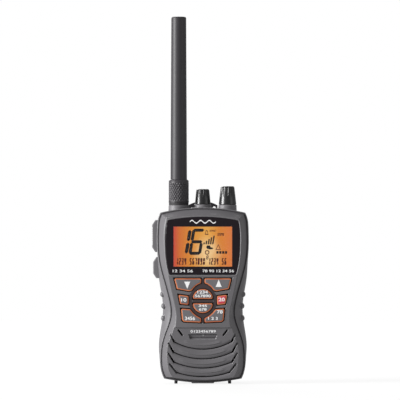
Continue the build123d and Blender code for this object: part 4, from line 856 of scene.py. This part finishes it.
mark_thick = 0.04
mark_weight = 0.02
plates("key_down_mark", [[(-12.9, 71.3), (-10.8, 66.3), (-8.7, 71.3)]], key_cap_y, mark_thick,
       print_white, "key_down")
plates("key_up_mark", [[(8.9, 67.6), (13.1, 67.6), (11.0, 72.6)]], key_cap_y, mark_thick,
       print_white, "key_up")
key_figures = [
    ("key_call", "1234", (-3.7, 63.0), (3.5, 65.1)),
    ("key_call", "567890", (-5.4, 60.4), (5.5, 62.3)),
    ("key_menu", "345", (-2.9, 53.7), (2.9, 55.4)),
    ("key_menu", "678", (-2.6, 51.1), (2.6, 52.9)),
    ("key_watch", "10", (-15.0, 57.4), (-11.3, 59.8)),
    ("key_alert", "20", (10.9, 57.6), (15.2, 60.2)),
    ("key_scan", "3456", (-12.4, 44.6), (-5.4, 47.0)),
    ("key_power", "78", (9.8, 49.1), (13.8, 51.4)),
    ("key_power", "1 2 3", (3.7, 44.8), (10.4, 46.8)),
]
for number, (key, figures, low, high) in enumerate(key_figures):
    plain_numbers(f"{key}_figures_{number}", figures, low, high, key_cap_y, key,
                  mark_thick, mark_weight)


# ---- Knobs, shafts and their seals ----
# Glossy black moulded knobs with fluted tops, pushed on to the flatted steel shafts of their
# controls. A felt washer under each keeps salt and grit out of its boss.
knob_gloss = moulded_plastic("knob_gloss", tint(22, 22, 23), 0.27, grain=900.0, edge=0.3, rub=0.1,
                             depth=0.004)
finish_nodes(knob_gloss, "squelch_knob", "volume_knob")


def turned(name, centre, section, steps, material, body, cut=None):
    """A ring about an upright axis at centre. section is its closed loop of (radius, z) points, and
    cut gives how much deeper the surface is at an angle, radius and height."""
    points = []
    for radius, z in section:
        for step in range(steps):
            angle = 2 * math.pi * step / steps
            reach = radius - cut(angle, radius, z) if cut else radius
            points.append((centre[0] + reach * math.cos(angle),
                           centre[1] + reach * math.sin(angle), z))
    faces = skin(len(section), steps, closed=True)
    return piece(name, points, faces, material, body, smooth_angle=40)


felt_black = moulded_plastic("felt_black", tint(34, 33, 34), 0.9, grain=1400.0, edge=0.1, rub=0.0,
                             depth=0.1)
washer_bore = 3.1
washer_slack = 0.35
washer_thick = 0.3
washer_steps = 64
for knob in ("squelch_knob", "volume_knob"):
    low, high = (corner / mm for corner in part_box(knob))
    outer = (high.x - low.x) / 2 - washer_slack
    section = [(washer_bore, low.z - washer_thick), (outer, low.z - washer_thick),
               (outer, low.z), (washer_bore, low.z)]
    turned(f"{knob}_washer", (low + high) / 2, section, washer_steps, felt_black, "radio")

line_spread = 0.1
drawn, given, out = surface_group("drawn_metal_surface", [
    ("Colour", COLOUR, (0.6, 0.6, 0.6, 1)), ("Roughness", NUMBER, 0.3),
    ("Stretch", VECTOR, (1, 1, 60)), ("Scale", NUMBER, 500.0), ("Edge", NUMBER, 0.1 * mm)])
place = object_place(drawn)
pulled = add_node(drawn, "ShaderNodeVectorMath", {0: place, 1: given["Stretch"]},
                  operation="MULTIPLY").outputs[0]
lines = noise(drawn, pulled, given["Scale"], detail=3.0)
stains = noise(drawn, place, 90.0, detail=4.0)
toned = scaled(drawn, given["Colour"], ranged(drawn, stains, 0.82, 1.05, start=0.35, end=0.7))
smoothest = computed(drawn, "SUBTRACT", given["Roughness"], line_spread)
gloss = computed(drawn, "MULTIPLY_ADD", lines, 2 * line_spread, smoothest)
softened = add_node(drawn, "ShaderNodeBevel", {"Radius": given["Edge"]}, samples=4).outputs[0]
feed(out, Colour=toned, Roughness=gloss, Height=lines, Normal=softened)


def metal(name, colour, roughness, stretch=(1, 1, 60), scale=500.0, edge=0.1):
    """Turned, drawn or pressed metal. Its fine lines lie across the axis with most stretch."""
    values = {"Colour": colour, "Roughness": roughness, "Stretch": stretch, "Scale": scale,
              "Edge": edge * mm}
    return grouped_material(name, drawn, values, strength=0.3, depth=0.01, Metallic=1.0)


steel = metal("turned_steel", tint(196, 196, 198), 0.3)
finish_nodes(steel, "squelch_shaft", "volume_shaft", "clip_pin", "door_screw", "case_screws",
             "bracket_screws", "speaker_frame", "microphone")
soft_black = moulded_plastic("rubber_black", tint(38, 36, 38), 0.62, grain=1800.0, edge=0.3,
                             rub=0.12)
finish_nodes(soft_black, "shaft_seals", "case_seal", "door_seal", "antenna_ring", "jack_cover",
             "feet")


# ---- Antenna ----
# A rubber-coated whip bonded into a collar that screws on to the case's threaded connector. The
# collar is rolled with a diamond knurl for the fingers and has a plain band at each end.
whip_rubber = moulded_plastic("whip_rubber", tint(50, 48, 51), 0.42, grain=1500.0, edge=0.3,
                              rub=0.1, depth=0.01, Specular_IOR_Level=0.35)
finish_nodes(whip_rubber, "antenna_whip")

collar_low, collar_high = (corner.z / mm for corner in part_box("antenna_collar"))
antenna_at = (-16.8, 2.0)
collar_radius = 7.0
collar_bore = 3.25
collar_chamfer = 1.1
collar_foot = 0.35
collar_around = 240
neck_depth = 0.12
knurl_low, knurl_high = 127.2, 140.0
knurl_count = 24
knurl_pitch = 2.9
knurl_depth = 0.42
knurl_groove = 0.28
knurl_fade = 0.5
knurl_steps = 64


def knurl(angle, radius, z):
    """How far below the collar's surface the knurl is."""
    if radius != collar_radius or not knurl_low < z < knurl_high:
        return 0.0
    turns, rise = angle * knurl_count / (2 * math.pi), z / knurl_pitch
    crossing = [abs((value + 0.5) % 1 - 0.5) for value in (turns + rise, turns - rise)]
    groove = 1 - min(1, min(crossing) / knurl_groove)
    fade = min(1, (z - knurl_low) / knurl_fade, (knurl_high - z) / knurl_fade)
    return knurl_depth * groove * fade


neck_radius = collar_radius - neck_depth
knurl_rise = (knurl_high - knurl_low) / knurl_steps
profile = [(collar_bore, collar_low), (collar_radius - collar_foot, collar_low),
           (collar_radius, collar_low + collar_foot)]
profile += [(collar_radius, knurl_low + knurl_rise * i) for i in range(knurl_steps + 1)]
profile += [(neck_radius, knurl_high + 0.35), (neck_radius, knurl_high + 0.6),
            (collar_radius, knurl_high + 0.85), (collar_radius, collar_high - collar_chamfer),
            (collar_radius - 0.3, collar_high - 0.5),
            (collar_radius - collar_chamfer, collar_high), (collar_bore, collar_high)]
collar_black = moulded_plastic("collar_black", tint(54, 51, 55), 0.4, edge=0.1, rub=0.12,
                               Specular_IOR_Level=0.5)
collar = turned("antenna_knurled_collar", antenna_at, profile, collar_around, collar_black,
                "antenna", cut=knurl)
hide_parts("antenna_collar")

band_low, band_high = collar_low + 0.5, knurl_low - 0.15
band_inner, band_outer = collar_radius - 0.2, collar_radius + 0.12
band_chamfer = 0.1
band = [(band_inner, band_low), (band_outer, band_low + band_chamfer),
        (band_outer, band_high - band_chamfer), (band_inner, band_high)]
turned("antenna_collar_band", antenna_at, band, collar_around, soft_black, "antenna")
brass = metal("turned_brass", tint(204, 170, 96), 0.28)
finish_nodes(brass, "antenna_connector", "antenna_rod", "case_inserts")


# ---- Talk button and side button ----
# Hard rubber buttons with a ribbed thumb face. Lips on their backs hold them in the case wall, and
# each presses a switch on the side board.
button_rubber = moulded_plastic("button_rubber", tint(107, 105, 108), 0.5, edge=0.35)
finish_nodes(button_rubber, "ptt_button", "side_button")


# ---- Belt clip ----
# A moulded black clip that tilts on a steel pin in a bracket, which is screwed to the case's back.
# A coil spring on the pin holds it shut. The battery's springs and plates are the same steel.
clip_black = moulded_plastic("clip_black", tint(36, 34, 37), 0.36, rub=0.25)
finish_nodes(clip_black, "belt_clip", "clip_bracket")
spring_steel = metal("spring_steel", tint(206, 204, 198), 0.25, stretch=(8, 8, 8), scale=1500.0)
finish_nodes(spring_steel, "clip_spring", "contact_springs", "contact_plates")


# ---- Charging contacts, sockets and switches ----
# The block under the case is moulded in the body's plastic, and its two gilt contacts touch the
# springs of a charging cradle. The other parts are black mouldings soldered to their boards.
gilt = metal("gilt", tint(226, 188, 106), 0.22, stretch=(1, 1, 1))
plain_black = moulded_plastic("plain_black", tint(34, 33, 35), 0.5, edge=0.2, rub=0.1)
finish_nodes(body_grey, "contact_block")
finish_nodes(gilt, "charge_contacts")
finish_nodes(plain_black, "board_connector", "side_switches", "side_jack")


# ---- Circuit boards, shield and chassis ----
# Green lacquered boards with copper tracks showing through. The cans over the radio's circuits and
# the controls are pressed from tinned steel, and the chassis is a cast plate.
board, board_tree, board_shader = principled("board_green", Roughness=0.35, Coat_Weight=0.4)
board_place = object_place(board_tree)
tracks = add_node(board_tree, "ShaderNodeTexBrick",
                  {"Vector": board_place, "Scale": 160.0, "Color1": tint(24, 92, 52),
                   "Color2": tint(16, 74, 42), "Mortar": tint(58, 132, 74), "Mortar Size": 0.03})
track_noise = noise(board_tree, board_place, 900.0)
feed(board_shader, Base_Color=blended(board_tree, track_noise, tracks.outputs[0],
                                      tint(20, 84, 48)))
finish_nodes(board, "display_board", "radio_board", "side_board")
tin_plate = metal("tin_plate", tint(206, 208, 210), 0.3, stretch=(1, 1, 12))
finish_nodes(tin_plate, "rf_shield", "squelch_pot", "volume_pot")
cast = metal("cast_aluminium", tint(190, 191, 194), 0.5, stretch=(1, 1, 1), scale=1200.0)
finish_nodes(cast, "chassis")


# ---- Keypad mat, light guide, foam, speaker cone and mesh, battery cells ----
# Soft and sheet parts inside: silicone, acrylic, closed-cell foam, treated paper, woven nylon and
# plain jacketed cells.
mat_silicone = moulded_plastic("mat_silicone", tint(58, 57, 60), 0.6, edge=0.2, rub=0.0)
light_guide = moulded_plastic("light_guide", tint(238, 236, 228), 0.3, edge=0.2, rub=0.0)
foam_white = moulded_plastic("foam_white", tint(232, 230, 222), 0.9, grain=900.0, edge=0.5,
                             rub=0.0, depth=0.2)
cone_paper = moulded_plastic("cone_paper", tint(44, 42, 42), 0.85, grain=1400.0, edge=0.2,
                             rub=0.0, depth=0.05)
cell_jacket = moulded_plastic("cell_jacket", tint(58, 64, 74), 0.3, edge=0.2, rub=0.1)
finish_nodes(mat_silicone, "keypad_mat")
finish_nodes(light_guide, "lcd_backlight")
finish_nodes(foam_white, "float_block")
finish_nodes(cone_paper, "speaker_cone")
finish_nodes(cell_jacket, "battery_cells")

weave, weave_tree, weave_shader = principled("speaker_weave", Roughness=0.8)
weave_place = object_place(weave_tree)
threads = [add_node(weave_tree, "ShaderNodeTexWave", {"Vector": weave_place, "Scale": 900.0},
                    bands_direction=way).outputs[1] for way in ("X", "Z")]
weave_height = computed(weave_tree, "MAXIMUM", *threads)
weave_bump = add_node(weave_tree, "ShaderNodeBump", {"Height": weave_height, "Distance": 0.1 * mm})
feed(weave_shader, Base_Color=blended(weave_tree, weave_height, tint(8, 8, 9), tint(34, 33, 35)),
     Normal=weave_bump.outputs[0])
finish_nodes(weave, "speaker_mesh")
